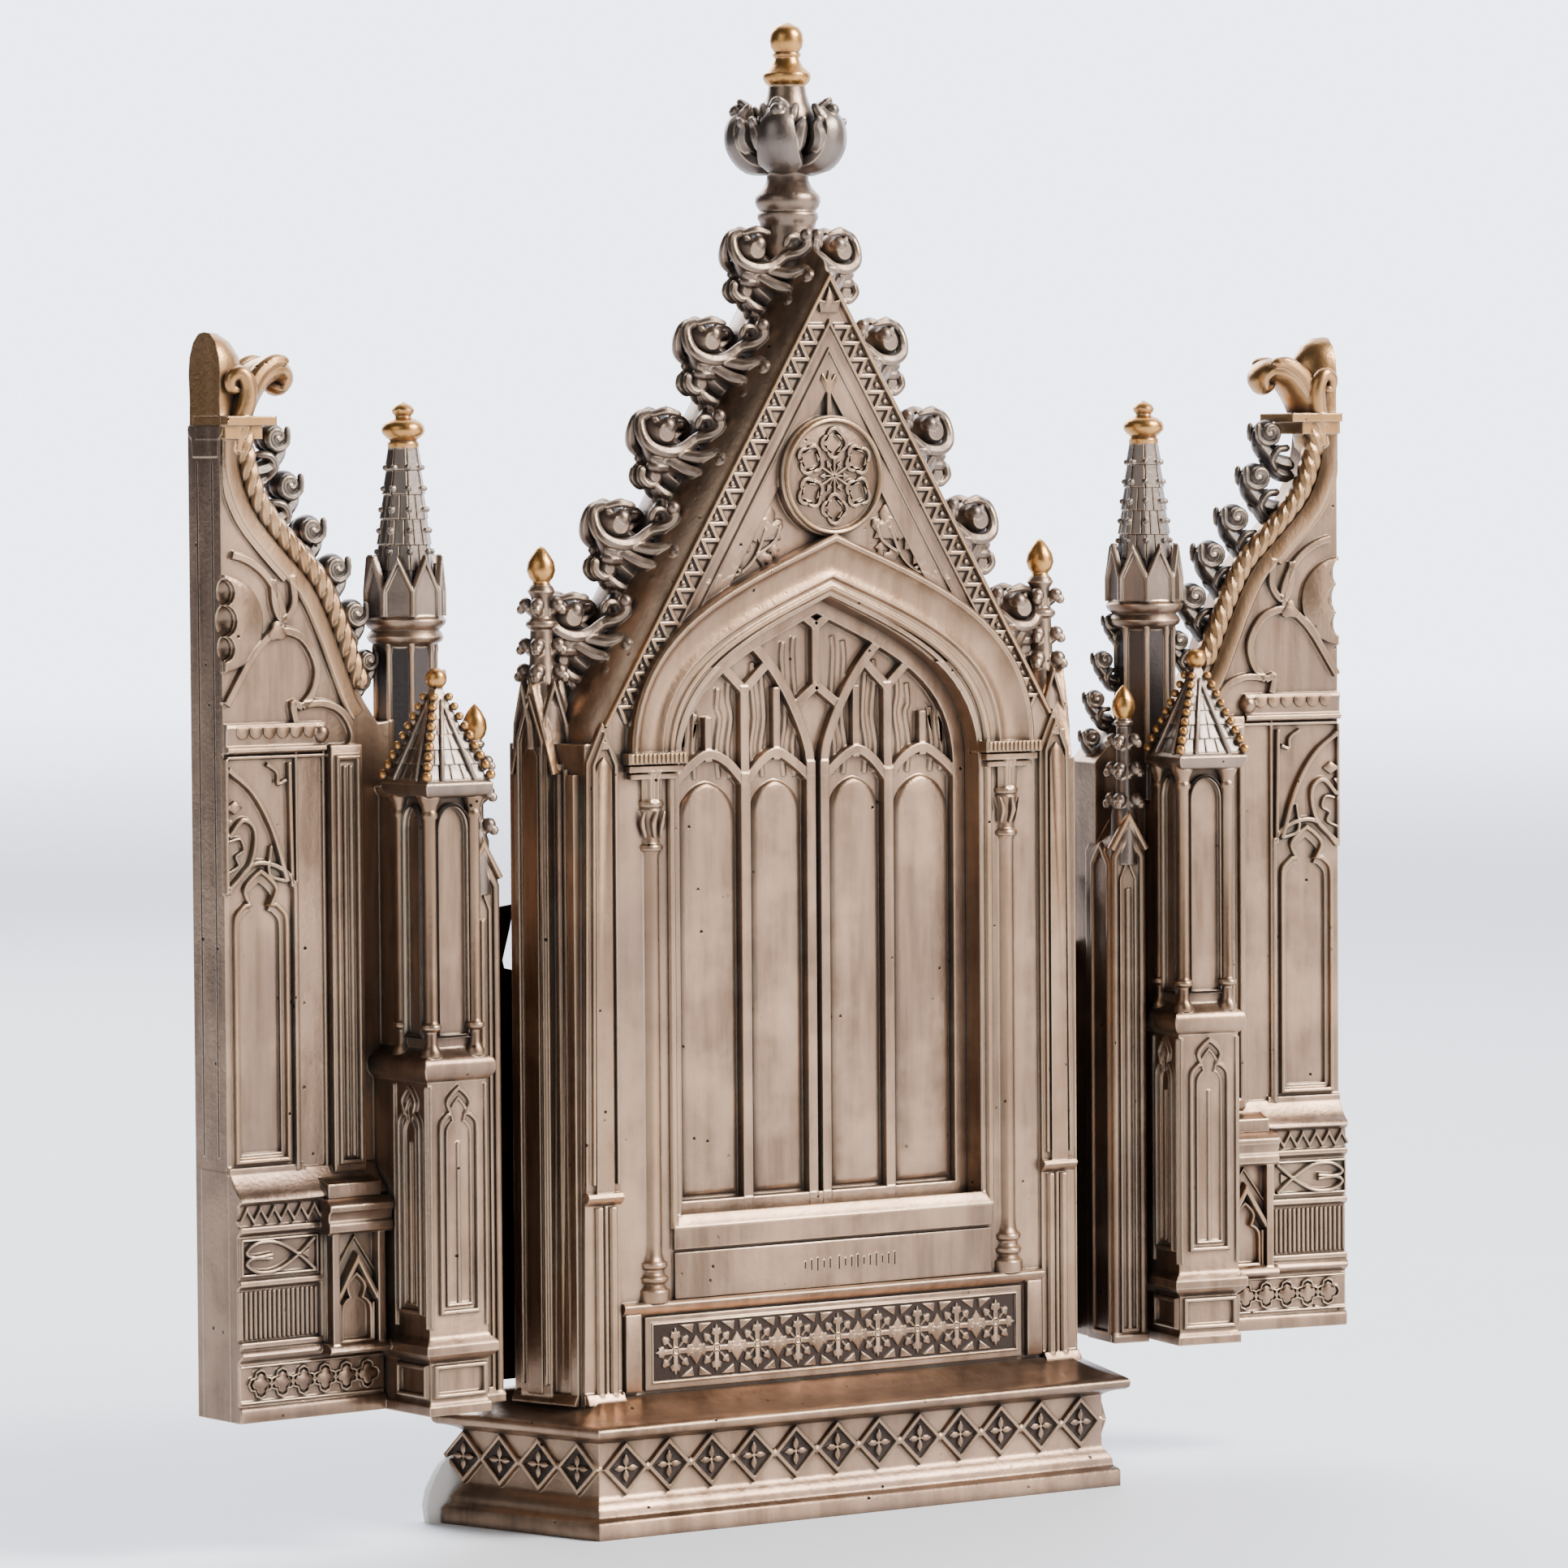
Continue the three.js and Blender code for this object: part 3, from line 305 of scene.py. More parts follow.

# %% [markdown]
# ## From shells to objects
# Finished shells become one mesh object in metres, at the origin. Each shell carries a tone: 0 for
# brown bronze, above 0 where the real casting is rubbed to bright gold, below 0 where it was left
# pewter-dark. The darkest tones also serve as painted shade: on the tower's shaft, in sunk grounds and
# along the zigzag. The patina reads the tone as an attribute.
# Recesses are cut by Blender's exact boolean, on the few plain masses that need them.

# %% Objects and cuts
class Casting:
    def __init__(self):
        self.parts = []

    def add(self, *parts, tone=0.0):
        self.parts += [(p, f, tone) for p, f in shells(*parts)]

    def object(self, name, place=lambda p: p, flip=False):
        points, faces, tones, start = [], [], [], 0
        for p, f, tone in self.parts:
            points.append(place(p))
            faces += [tuple(start + i for i in (face[::-1] if flip else face)) for face in f]
            tones.append(np.full(len(p), tone))
            start += len(p)
        mesh = bpy.data.meshes.new(name)
        mesh.from_pydata((np.vstack(points) + SHIFT) * MM, [], faces)
        mesh.attributes.new("tone", "FLOAT", "POINT").data.foreach_set("value", np.concatenate(tones))
        mesh.validate()
        mesh.polygons.foreach_set("use_smooth", np.ones(len(mesh.polygons), bool))
        mesh.set_sharp_from_angle(angle=math.radians(38))
        piece = bpy.data.objects.new(name, mesh)
        bpy.context.collection.objects.link(piece)
        print(name, len(mesh.polygons), "faces")
        return piece


def plain_object(parts, name="scratch"):
    points, faces, start = [], [], 0
    for p, f in shells(parts):
        points.append(p)
        faces += [tuple(start + i for i in face) for face in f]
        start += len(p)
    mesh = bpy.data.meshes.new(name)
    mesh.from_pydata(np.vstack(points), [], faces)
    piece = bpy.data.objects.new(name, mesh)
    bpy.context.collection.objects.link(piece)
    return piece


def as_shell(piece):
    """The evaluated mesh of a scratch object, which is then removed."""
    mesh = bpy.data.meshes.new_from_object(piece.evaluated_get(bpy.context.evaluated_depsgraph_get()))
    points = np.zeros(len(mesh.vertices) * 3)
    mesh.vertices.foreach_get("co", points)
    faces = [tuple(f.vertices) for f in mesh.polygons]
    bpy.data.objects.remove(piece)
    return points.reshape(-1, 3), faces


def carved(masses, cutters):
    """Plain masses joined into one, with pockets cut into them one after another."""
    whole, *others = [plain_object([mass]) for mass in shells(masses)]
    tools = [plain_object([cutter]) for cutter in shells(cutters)]
    for tool, kind in [(o, "UNION") for o in others] + [(t, "DIFFERENCE") for t in tools]:
        step = whole.modifiers.new("step", "BOOLEAN")
        step.operation, step.solver, step.object = kind, "EXACT", tool
    shell = as_shell(whole)
    for tool in others + tools:
        bpy.data.objects.remove(tool)
    return shell


# %% [markdown]
# ## Repeats
# Lozenges, quatrefoils, beads and teeth are one motif set again and again. A Geometry Nodes tree puts
# the motif on a handful of points, each with its own turn and size, and bakes the result to plain
# mesh, so a change of motif or pitch changes the whole row.

# %% A row of motifs
def repeat_tree():
    tree = bpy.data.node_groups.new("set_motifs", "GeometryNodeTree")
    face = tree.interface
    face.new_socket("Geometry", in_out="INPUT", socket_type="NodeSocketGeometry")
    for name, kind in (("Motif", "NodeSocketObject"), ("Size", "NodeSocketFloat"),
                       ("Finish", "NodeSocketMaterial")):
        face.new_socket(name, in_out="INPUT", socket_type=kind)
    face.new_socket("Geometry", in_out="OUTPUT", socket_type="NodeSocketGeometry")
    node, link = tree.nodes.new, tree.links.new
    given, made = node("NodeGroupInput"), node("NodeGroupOutput")
    motif, put = node("GeometryNodeObjectInfo"), node("GeometryNodeInstanceOnPoints")
    link(given.outputs["Motif"], motif.inputs["Object"])
    link(given.outputs["Geometry"], put.inputs["Points"])
    link(motif.outputs["Geometry"], put.inputs["Instance"])
    turn, spin = node("GeometryNodeInputNamedAttribute"), node("ShaderNodeCombineXYZ")
    turn.data_type = "FLOAT"
    turn.inputs["Name"].default_value = "turn"
    link(turn.outputs["Attribute"], spin.inputs["Z"])
    link(spin.outputs["Vector"], put.inputs["Rotation"])
    own, times = node("GeometryNodeInputNamedAttribute"), node("ShaderNodeMath")
    own.data_type, times.operation = "FLOAT", "MULTIPLY"
    own.inputs["Name"].default_value = "size"
    link(own.outputs["Attribute"], times.inputs[0])
    link(given.outputs["Size"], times.inputs[1])
    link(times.outputs["Value"], put.inputs["Scale"])
    real, finish = node("GeometryNodeRealizeInstances"), node("GeometryNodeSetMaterial")
    link(put.outputs["Instances"], real.inputs["Geometry"])
    link(real.outputs["Geometry"], finish.inputs["Geometry"])
    link(given.outputs["Finish"], finish.inputs["Material"])
    link(finish.outputs["Geometry"], made.inputs["Geometry"])
    return tree


MOTIFS = repeat_tree()


def row(motif, places, turns=0.0, sizes=1.0, size=1.0):
    """The motif's shells set at each place, turned about the upright and scaled."""
    places = np.asarray(places, float)
    mesh = bpy.data.meshes.new("places")
    mesh.from_pydata(places, [], [])
    for name, values in (("turn", turns), ("size", sizes)):
        mesh.attributes.new(name, "FLOAT", "POINT").data.foreach_set(
            "value", np.broadcast_to(np.asarray(values, float), (len(places),)).copy())
    carrier = bpy.data.objects.new("places", mesh)
    bpy.context.collection.objects.link(carrier)
    source = plain_object(motif, "motif")
    rule = carrier.modifiers.new("motifs", "NODES")
    rule.node_group = MOTIFS
    ids = {s.name: s.identifier for s in MOTIFS.interface.items_tree if s.in_out == "INPUT"}
    rule[ids["Motif"]], rule[ids["Size"]] = source, size
    made = as_shell(carrier)
    bpy.data.objects.remove(source)
    return made


print("motif tree inputs", [s.name for s in MOTIFS.interface.items_tree if s.in_out == "INPUT"])

# %% [markdown]
# ## Plinth
# The plinth is a moulded slab, a band of lozenges and a ledge, all following one plan whose sides
# splay towards the front. It is a pile of courses, each the same plan pushed out or in, so the
# mouldings mitre by themselves at the corners.

# %% Plinth
LEAN = math.radians(71)
BACK, CORNER, FRONT = -11.3, 63.0, 27.3
BAND_LOW, BAND_HIGH = 8.4, 18.6


def splay(y):
    return CORNER + (y - BACK) / math.tan(LEAN)


plan = [(-splay(BACK), BACK), (splay(BACK), BACK), (splay(FRONT), FRONT), (-splay(FRONT), FRONT)]
courses = [
    (0, 0, 0), (3.1, 0, 0), (3.6, -0.35, -0.3), (4.1, -1.3, -0.6), (4.5, -1.5, -0.7), (5.3, -1.5, -0.7),
    (6.2, -2.0, -1.0), (7.0, -2.7, -1.3), (7.5, -3.3, -1.6), (BAND_LOW, -3.6, -1.8), (BAND_HIGH, -3.6, -1.8),
    (19.0, -3.0, -1.5), (19.5, -1.8, -0.9), (19.9, -0.4, -0.3), (20.1, 1.0, 0.1), (20.5, 1.7, 0.3),
    (21.1, 2.0, 0.4), (21.9, 1.95, 0.4), (22.4, 1.5, 0.3), (22.7, 0.4, 0.1), (23.0, -1.6, -0.2),
    (23.6, -4.0, -0.4), (24.4, -6.2, -0.6), (25.4, -8.2, -0.8), (26.4, -9.8, -1.0),
]
shrine = Casting()
shrine.add(stack(plan, [(z, (rear, rear * 0.9, front, rear * 0.9)) for z, rear, front in courses]))

band = offset(plan, (-3.6, -3.24, -1.8, -3.24))
PITCH, MIDDLE, TALL = 10.0, (BAND_LOW + BAND_HIGH) / 2, 4.7
flat = Face((0, 0))
petal = [(0.25, 0), (0.9, 0.55), (1.8, 0.62), (2.75, 0.0), (1.8, -0.62), (0.9, -0.55)]
lozenge = shells(
    flat.bar([(0, -TALL), (PITCH / 2 - 0.35, 0), (0, TALL), (-PITCH / 2 + 0.35, 0)], 1.15, 1.0, closed=True),
    [flat.plate([(s * c - z * d, s * d + z * c) for s, z in petal], 0.95, -0.2, 0.35)
     for c, d in ((1, 0), (0, 1), (-1, 0), (0, -1))],
    ball((0, -0.35, 0), 0.5, 8, 4),
)
# a near-black ground inside each lozenge: painted shade of the recess
lozenge_shade_ground = shells(flat.plate([(0, -TALL + 0.5), (PITCH / 2 - 0.9, 0), (0, TALL - 0.5),
                                    (-PITCH / 2 + 0.9, 0)], 0.12, -0.3))
link_knot = shells(flat.plate([(-0.9, 0), (0, 0.9), (0.9, 0), (0, -0.9)], 0.85, -0.3, 0.2))
rear = [((i - 5.5) * PITCH, band[0][1], MIDDLE) for i in range(12)]
# the lozenge grounds take the near-black tone, as painted shade
shrine.add(row(lozenge_shade_ground, rear), tone=-1.3)
shrine.add(row(lozenge, rear), row(link_knot, [((i - 5) * PITCH, band[0][1], MIDDLE) for i in range(11)]))
for side in (-1, 1):
    start, end = np.array([side * abs(band[0][0]), band[0][1]]), np.array([side * abs(band[2][0]),
            band[2][1]])
    along = (end - start) / np.linalg.norm(end - start)
    turn = math.atan2(along[1], along[0]) + (math.pi if side < 0 else 0)
    steps = [0.5, 1.5, 2.5, 3.45]
    places = [(*(start + along * PITCH * k), MIDDLE) for k in steps]
    shrine.add(row(lozenge_shade_ground, places, turn), tone=-1.3)
    shrine.add(row(lozenge, places, turn))
    shrine.add(row(link_knot, [(*(start + along * PITCH * k), MIDDLE) for k in (1, 2, 3)], turn))
print("plinth courses", len(courses), "lozenges", 12 + 8)

# %% [markdown]
# ## Shrine walls
# The body is a shallow six-sided trunk under a gabled slab with dished edges. The blind window is a
# pocket in its back, the niche a deep one in its front, and both are cut. The tracery then stands on
# the floor of the window pocket.

# %% Walls and pockets
FOOT, FOOT_Z, APEX_Z = 54.3, 159.4, 249.5
SLOPE = math.atan2(FOOT, APEX_Z - FOOT_Z)
TRACERY_Y, PANE_Y = 4.7, 6.6           # how deep the tracery's face and the panes lie
back = Face((0, 0))
front = Face((0, FRONT_Y), (1, 0), (0, 1))


def slopes(inset):
    """The gable's two slopes moved square to themselves by inset."""
    return np.array([
        (-FOOT + inset / math.cos(SLOPE), FOOT_Z),
        (0, APEX_Z - inset / math.sin(SLOPE)),
        (FOOT - inset / math.cos(SLOPE), FOOT_Z),
    ])


def pediment(inset):
    left, top, right = slopes(inset)
    return [(left[0], 148), (right[0], 148), right, top, left]


def trunk_plan(z, corner):
    return [(-corner, 0, z), (corner, 0, z), (65.3, SIDE_Y, z), (59, FRONT_Y, z), (-59, FRONT_Y, z),
            (-65.3, SIDE_Y, z)]


OPENING = doorway(36.4, 60.4, 149, 184.2, 24)
trunk = loft([trunk_plan(24, 59.6), trunk_plan(156, 58)])
roof_depth = [(0, 0), (1.2, -1.2), (5.5, -2.6), (9, -3.1), (FRONT_Y - 9, -3.1), (FRONT_Y - 5.5, -2.6),
              (FRONT_Y - 1.2, -1.2), (FRONT_Y, 0)]
roof = loft([[(x, y, z) for x, z in pediment(inset)] for y, inset in roof_depth])
shrine.add(carved([trunk, roof], [
    back.plate(OPENING, 4, -PANE_Y), front.plate(doorway(45.5, 31, 118, 166, 40), 3, -2),
    front.plate(doorway(41, 31, 118, 160, 40), 3, -16),
    back.plate([(-33.6, 170.5), (33.6, 170.5), (0, 170.5 + 33.6 / math.tan(SLOPE))], 3, -0.9),
    front.plate([(-27, 182), (27, 182), (0, 182 + 27 / math.tan(SLOPE))], 3, -0.9),
]))

# %% [markdown]
# ## Window tracery
# Two mullions branch into pointed heads, and the middle pair sweeps apart into the arch, so the bars
# cross as in real intersecting tracery. Each bar is a chamfered moulding along its own centre line.

# %% Tracery
pane = Face((0, PANE_Y))
RISE = PANE_Y - TRACERY_Y


def rib(points, width=2.2, sink=0.1):
    """A tracery bar; bars that meet are sunk by different amounts, so that no two tops share a plane."""
    return pane.bar(smooth_path(points, 4) if len(points) > 3 else points, width, RISE - sink, crown=0.78)


def bolster(middle, half, low, high):
    """A soft upright panel with a rounded head, as leaded glass is shown in low relief."""
    rings = []
    for inset, out in ((0, -0.4), (0.05, 0.25), (0.5, 0.7), (1.3, 0.95), (half * 0.75, 0.8)):
        outline = doorway(half - inset, low + inset, high - half * 1.2, high - inset * 0.8, 8, 8, middle)
        rings.append([pane.at(s, z, out) for s, z in outline])
    return loft(rings)


shrine.add(
    pane.bar(doorway(34.7, 62.1, 149.2, 182.4, 24), 3.4, RISE + 0.05, closed=True, crown=0.88),
    [pane.bar([(x, 61), (x, 149)], 2.7, RISE, crown=0.78) for x in (-17.3, 17.3)],
    [pane.bar([(x, 61), (x, 151)], 2.5, RISE + 0.1, crown=0.8) for x in (-1.65, 1.65)],
    [bolster(x, half, 64.5, 147.4) for x, half in ((-25.9, 6.7), (-9.5, 5.9), (9.5, 5.9), (25.9, 6.7))],
)
half_tracery = shells(
    rib([(17.3, 147), (21.4, 151.2), (25.9, 153.0), (30.2, 150.8), (34.4, 147.2)], 2.2, 0.12),
    rib([(17.3, 147), (13.4, 151.2), (9.6, 153.0), (5.4, 150.8), (1.6, 147.6)], 2.2, 0.16),
    rib([(17.3, 147), (17.3, 166.4)], 2.4, 0.22), rib([(22.6, 170.6), (17.3, 165.6), (12.0, 170.6)], 2.2,
                                                      0.28),
    rib([(25.9, 151.5), (25.9, 160.4)], 1.9, 0.3), rib([(9.6, 151.5), (9.6, 166)], 1.9, 0.3),
    rib([(1.6, 148), (2.3, 154.4), (6, 162.9), (11, 170.4), (16.8, 176.4)], 2.4, 0.05),
    rib([(0, 166.2), (5.4, 162.2)], 2.1, 0.18), rib([(0, 178.2), (5, 181.6)], 2.0, 0.2),
    # folds of the panes in the deep upper lights
    [pane.bead(smooth_path([(x, 148), (x + 0.5, 154), (x - 0.4, 160), (x + 0.3, top - 4), (x, top)], 3),
               0.85, -0.35)
     for x, top in ((4.6, 176), (7.2, 175), (12.3, 173), (14.6, 171), (20.2, 168), (22.8, 166), (28.4, 161),
                    (31, 158))],
)
shrine.add(both(half_tracery), rib([(0, 165.4), (0, 179)], 2.2, 0.32))

# %% [markdown]
# ## Hood mould, sill and columns
# A broad hollow hood springs from two engaged columns with fluted abaci. Its section, from the
# outside in, is a thin fillet, the wide hollow, a roll and a step. Below come the sloping sill, a
# plain band, a cornice and a framed row of crosses.

# %% Hood, columns and sill
shrine.add(back.mould(arch(43.0, 153.6, 190.9, 22, 20), [
    (-5.5, -0.6), (5.5, -0.6), (5.5, 2.5), (4.9, 3.0), (4.2, 2.8), (3.6, 1.9), (2.2, 1.15), (0.4, 0.8),
    (-1.2, 0.9),
    (-2.0, 1.5), (-2.4, 1.5), (-3.0, 0.7), (-4.2, 0.5), (-5.5, 0.2),
]), tone=0.1)
shrine.add(back.bead(doorway(38.3, 59, 152, 186.3, 23, 20), 0.95, 0.1), tone=0.15)
shrine.add(back.mould(doorway(36.8, 60, 150, 184.6, 23, 20), [(-0.9, -4.4), (0.6, -4.4), (0.6, 0.2),
                                                              (-0.2, 0.2)]))

fluted = shells(
    lathe([(3.5, 44.6), (3.6, 45.2), (3.6, 47.0), (3.0, 47.4), (2.5, 48.2), (3.3, 48.9), (3.4, 49.5),
           (2.6, 50.2), (2.5, 51.0),
           (3.2, 51.7), (3.2, 52.4), (2.5, 53.0), (2.2, 54.0), (2.1, 56), (2.1, 133.6), (2.4, 134.4),
           (2.9, 134.7), (2.9, 135.5),
           (2.3, 136.0), (2.1, 137.4), (2.4, 140.6), (2.9, 142.6), (2.6, 143.0), (3.1, 143.4), (3.1, 144.2),
           (2.6, 144.6)],
          (42.9, 1.0), 20),
    lathe([(2.7, 144.2), (2.8, 148.6), (3.4, 150.4)], (42.9, 1.0), 40, lobes=10, depth=0.07),
    [limb([(42.9 + 2.5 * math.sin(a), 1 - 2.5 * math.cos(a), 137.4),
           (42.9 + 3.0 * math.sin(a + 0.18), 1 - 3.0 * math.cos(a + 0.18), 140),
           (42.9 + 3.4 * math.sin(a), 1 - 3.4 * math.cos(a), 142.2)], (0.35, 0.6, 0.3), 6, 3) for a in (-1.5,
                   -0.75, 0, 0.75, 1.5)],
)
abacus = shells(
    back.box(36.0, 49.8, 151.8, 154.0, 3.4, -3, 0.25), back.box(36.6, 49.2, 150.2, 151.4, 2.6, -3, 0.2),
    back.box(37.4, 48.4, 148.8, 149.8, 1.8, -3, 0.2),
)
shrine.add(both(fluted), both(abacus), tone=0.1)
dentil = flat.box(-0.28, 0.28, -0.95, 0.95, 0.4, -0.4, 0.12)
shrine.add(row(dentil, [(s * (36.9 + 1.02 * k), -3.3, 152.9) for s in (-1, 1) for k in range(13)]), tone=0.5)

shrine.add(
    back.mould([(-38.8, 60.6), (38.8, 60.6)], [(-1.6, -0.6), (1.0, -0.6), (1.0, 0.2), (0.2, 0.5),
                                               (-0.6, 1.0), (-1.6, 1.2)]),
    back.box(-38.6, 38.6, 54.9, 59.4, 1.15, -0.6, 0.3), back.box(-38.4, 38.4, 45.0, 54.2, 0.9, -0.6, 0.3),
    back.mould([(-50.8, 43.6), (50.8, 43.6)], [(-1.3, -0.6), (1.2, -0.6), (1.2, 1.3), (0.7, 1.9),
                                               (-0.2, 1.7), (-1.0, 0.9), (-1.3, 0.7)]),
)
# the framed row of crosses between two small blocks
shrine.add(back.box(-45.6, 45.6, 27.2, 41.8, 0.9, -0.6, 0.2),
           back.bar([(-44.1, 28.7), (44.1, 28.7), (44.1, 40.4), (-44.1, 40.4)], 0.5, 1.3, closed=True))
arm = [(0.4, -0.5), (2.5, -0.5), (2.9, -1.2), (4.0, -0.85), (3.8, -0.4), (4.8, 0), (3.8, 0.4), (4.0, 0.85),
       (2.9, 1.2), (2.5, 0.5), (0.4, 0.5)]
cross = shells(
    [flat.plate([(s * c - z * d, s * d + z * c) for s, z in arm], 0.42, -0.3, 0.12) for c,
     d in ((1, 0), (0, 1), (-1, 0), (0, -1))],
    flat.box(-0.8, 0.8, -0.8, 0.8, 0.42, -0.3, 0.12),
    [flat.bar([(sx * 0.9, sz * 0.9), (sx * 2.0, sz * 2.0)], 0.6, 0.4) for sx in (-1, 1) for sz in (-1, 1)],
    [flat.plate(foil((sx * 2.3, sz * 2.3), 0.95, 3, 3, math.degrees(math.atan2(sz, sx))), 0.42, -0.3,
                0.1) for sx in (-1, 1) for sz in (-1, 1)],
)
between = shells(flat.plate([(0, -2.9), (1.5, -0.9), (0.5, 0), (1.5, 0.9), (0, 2.9), (-1.5, 0.9), (-0.5, 0),
                             (-1.5, -0.9)], 0.42, -0.3, 0.12),
                 [flat.plate([(sx * 3.6, sz * 5.2), (sx * 0.6, sz * 5.2), (sx * 0.9, sz * 3.4)], 0.42, -0.3,
                             0.12) for sx in (-1, 1) for sz in (-1, 1)])
shrine.add(back.box(-43.7, 43.7, 29.0, 40.1, 0.95, 0.2), tone=-1.3)
shrine.add(row(cross, [((i - 4) * 9.7, -0.95, 34.6) for i in range(9)]),
           row(between, [((i - 3.5) * 9.7, -0.95, 34.6) for i in range(8)]))
block = shells(back.box(46.8, 50.4, 27.2, 42.6, 1.4, -0.6, 0.3), back.box(47.6, 49.6, 29, 41, 0.9, 0.4))
shrine.add(both(block))
# a row of shallow strokes where a founder would sign
for k in range(15):
    x, tall = -7.5 + k * 1.5 + (0.7 if k > 4 else 0), 0.75 + 0.3 * ((k * 7) % 3)
    shrine.add(back.box(x - 0.15, x + 0.15, 49.6 - tall, 49.6 + tall, 0.93, 0.4), tone=-1.4)

# %% [markdown]
# ## Corner strips and canted sides
# At each corner a flat strip rises to a little gable. Low down it steps onto a corbel with two reeds
# below it. The canted sides carry tall panels under gablets of their own.

# %% Corner strips and sides
strip = shells(
    back.plate([(51, 66.6), (59.0, 66.6), (58.2, 152.4), (54.4, 160.2), (50.8, 152.4)], 1.0, -0.6, 0.3),
    back.bar([(52.0, 69), (51.9, 151.8), (54.4, 157.6), (57.0, 151.8), (57.6, 69)], 0.9, 1.9),
    back.plate([(53.0, 67.2), (57.0, 67.2), (56.6, 150.6), (56.0, 152.0), (54.6, 153.4), (53.3, 152.0),
                (52.9, 150.6)], 1.75, 0.4, 0.35),
    back.plate(foil((54.5, 155.6), 0.9, 3, 4, 90), 1.9, 0.4),
    back.mould([(50.9, 66.4), (59.1, 66.4)], [(-1.6, -0.5), (0.8, -0.5), (0.8, 1.7), (0.1, 2.2), (-0.7, 1.8),
                                              (-1.6, 0.8)]),
    back.plate([(51, 25), (59.6, 25), (59.2, 65.5), (51, 65.5)], 0.7),
    [back.bead([(x, 26), (x, 64.4)], 1.0, 0.8) for x in (53.0, 56.2)], back.bead([(54.6, 26), (54.6, 64.6)],
            0.5, 0.9),
    back.mould([(51, 26.6), (59.6, 26.6)], [(-1.2, -0.5), (1.2, -0.5), (0.8, 1.5), (-0.4, 2.2), (-1.2, 2.4)]),
)
shrine.add(both(strip), tone=0.1)
for side in (-1, 1):
    start, end = np.array([side * 59.6, 0.0]), np.array([side * 65.3, SIDE_Y])
    along = (end - start) / np.linalg.norm(end - start)
    cheek = Face((start + end) / 2, along, (side * abs(along[1]), -abs(along[0])))
    shrine.add(
        cheek.plate([(-1.8, 25), (6.2, 25), (6.2, 157.4), (2.2, 169), (-1.8, 157.4)], 1.2, -6, 0.3),
        cheek.bar([(-0.8, 29), (-0.8, 156.4), (2.2, 165), (5.2, 156.4), (5.2, 29)], 0.9, 1.9),
        cheek.plate([(0.3, 27), (4.1, 27), (4.1, 153.6), (2.2, 157), (0.3, 153.6)], 1.6, 0.5, 0.3),
        cheek.bead([(-3.2, 25), (-3.2, 152)], 0.8, -0.9), cheek.bead([(-5.0, 25), (-5.0, 151)], 0.6, -0.7),
        cheek.box(-8.2, -6.4, 25, 150, 0.8, -1.2, 0.3), cheek.bead([(7.2, 25), (7.2, 156)], 0.7, -0.8),
        cheek.mould([(-8.2, 26.4), (8.2, 26.4)], [(-1.2, -1.4), (1.2, -1.4), (0.8, 0.9), (-0.4, 1.6),
                                                  (-1.2, 1.8)]),
        tone=0.05,
    )
    shrine.add([cheek.bar([(-3.4 + dx, 150 + dz), (2.2, 168.6 + dz), (7.2 - dx, 150 + dz)], 1.1, 1.5) for dx,
                dz in ((0, 0),)], tone=0.25)
print("walls done")

# %% [markdown]
# ## Gable relief
# Between two fillets a zigzag runs up both slopes. In the field sit a round medallion of six
# quatrefoils, a bud over it, and a leafy sprig on each side of the arch.

# %% Gable relief
for inset, wide, high in ((0.55, 1.1, 1.1), (5.3, 0.8, 0.9), (8.1, 0.6, 0.5)):
    shrine.add(back.bar(slopes(inset), wide, high), tone=0.3 if inset < 1 else 0.0)
shrine.add(back.mould(slopes(6.6), [(-0.9, -1.2), (0.9, -1.2), (0.9, 0.3), (-0.9, -0.5)]))
TEETH, foot, top = 24, slopes(3.15)[0], slopes(3.15)[1]
rise = (top - foot) / np.linalg.norm(top - foot)
square = np.array([-rise[1], rise[0]])             # points out over the slope
length = np.linalg.norm(top - foot)
step = rise * length / (2 * TEETH + 3.4)           # from one corner of the zigzag to the next
for side in (-1, 1):
    marks = [foot + step * (k + 0.8) + square * (1.55 if k % 2 else -1.6) for k in range(2 * TEETH + 1)]
    line = [(side * x, z) for x, z in marks]
    # a wider near-black bar under the zigzag paints the shade along its edges
    shrine.add(back.bar(line, 1.5, 0.08), tone=-1.3)
    shrine.add(back.bar(line, 0.85, 0.6, crown=0.8), tone=0.1)
    # a small stud in every second gap
    studs = [foot + step * (2 * k + 0.8) + square * 1.2 for k in range(1, TEETH)]
    shrine.add(row(ball((0, 0, 0), 0.55, 8, 4), [(side * x, -0.2, z) for x, z in studs]))
shrine.add(back.plate([(0, 246.2), (-1.2, 243.4), (-2.6, 243.8), (-2.1, 241.2), (2.1, 241.2), (2.6, 243.8),
                       (1.2, 243.4)], 0.9, -0.3, 0.3))

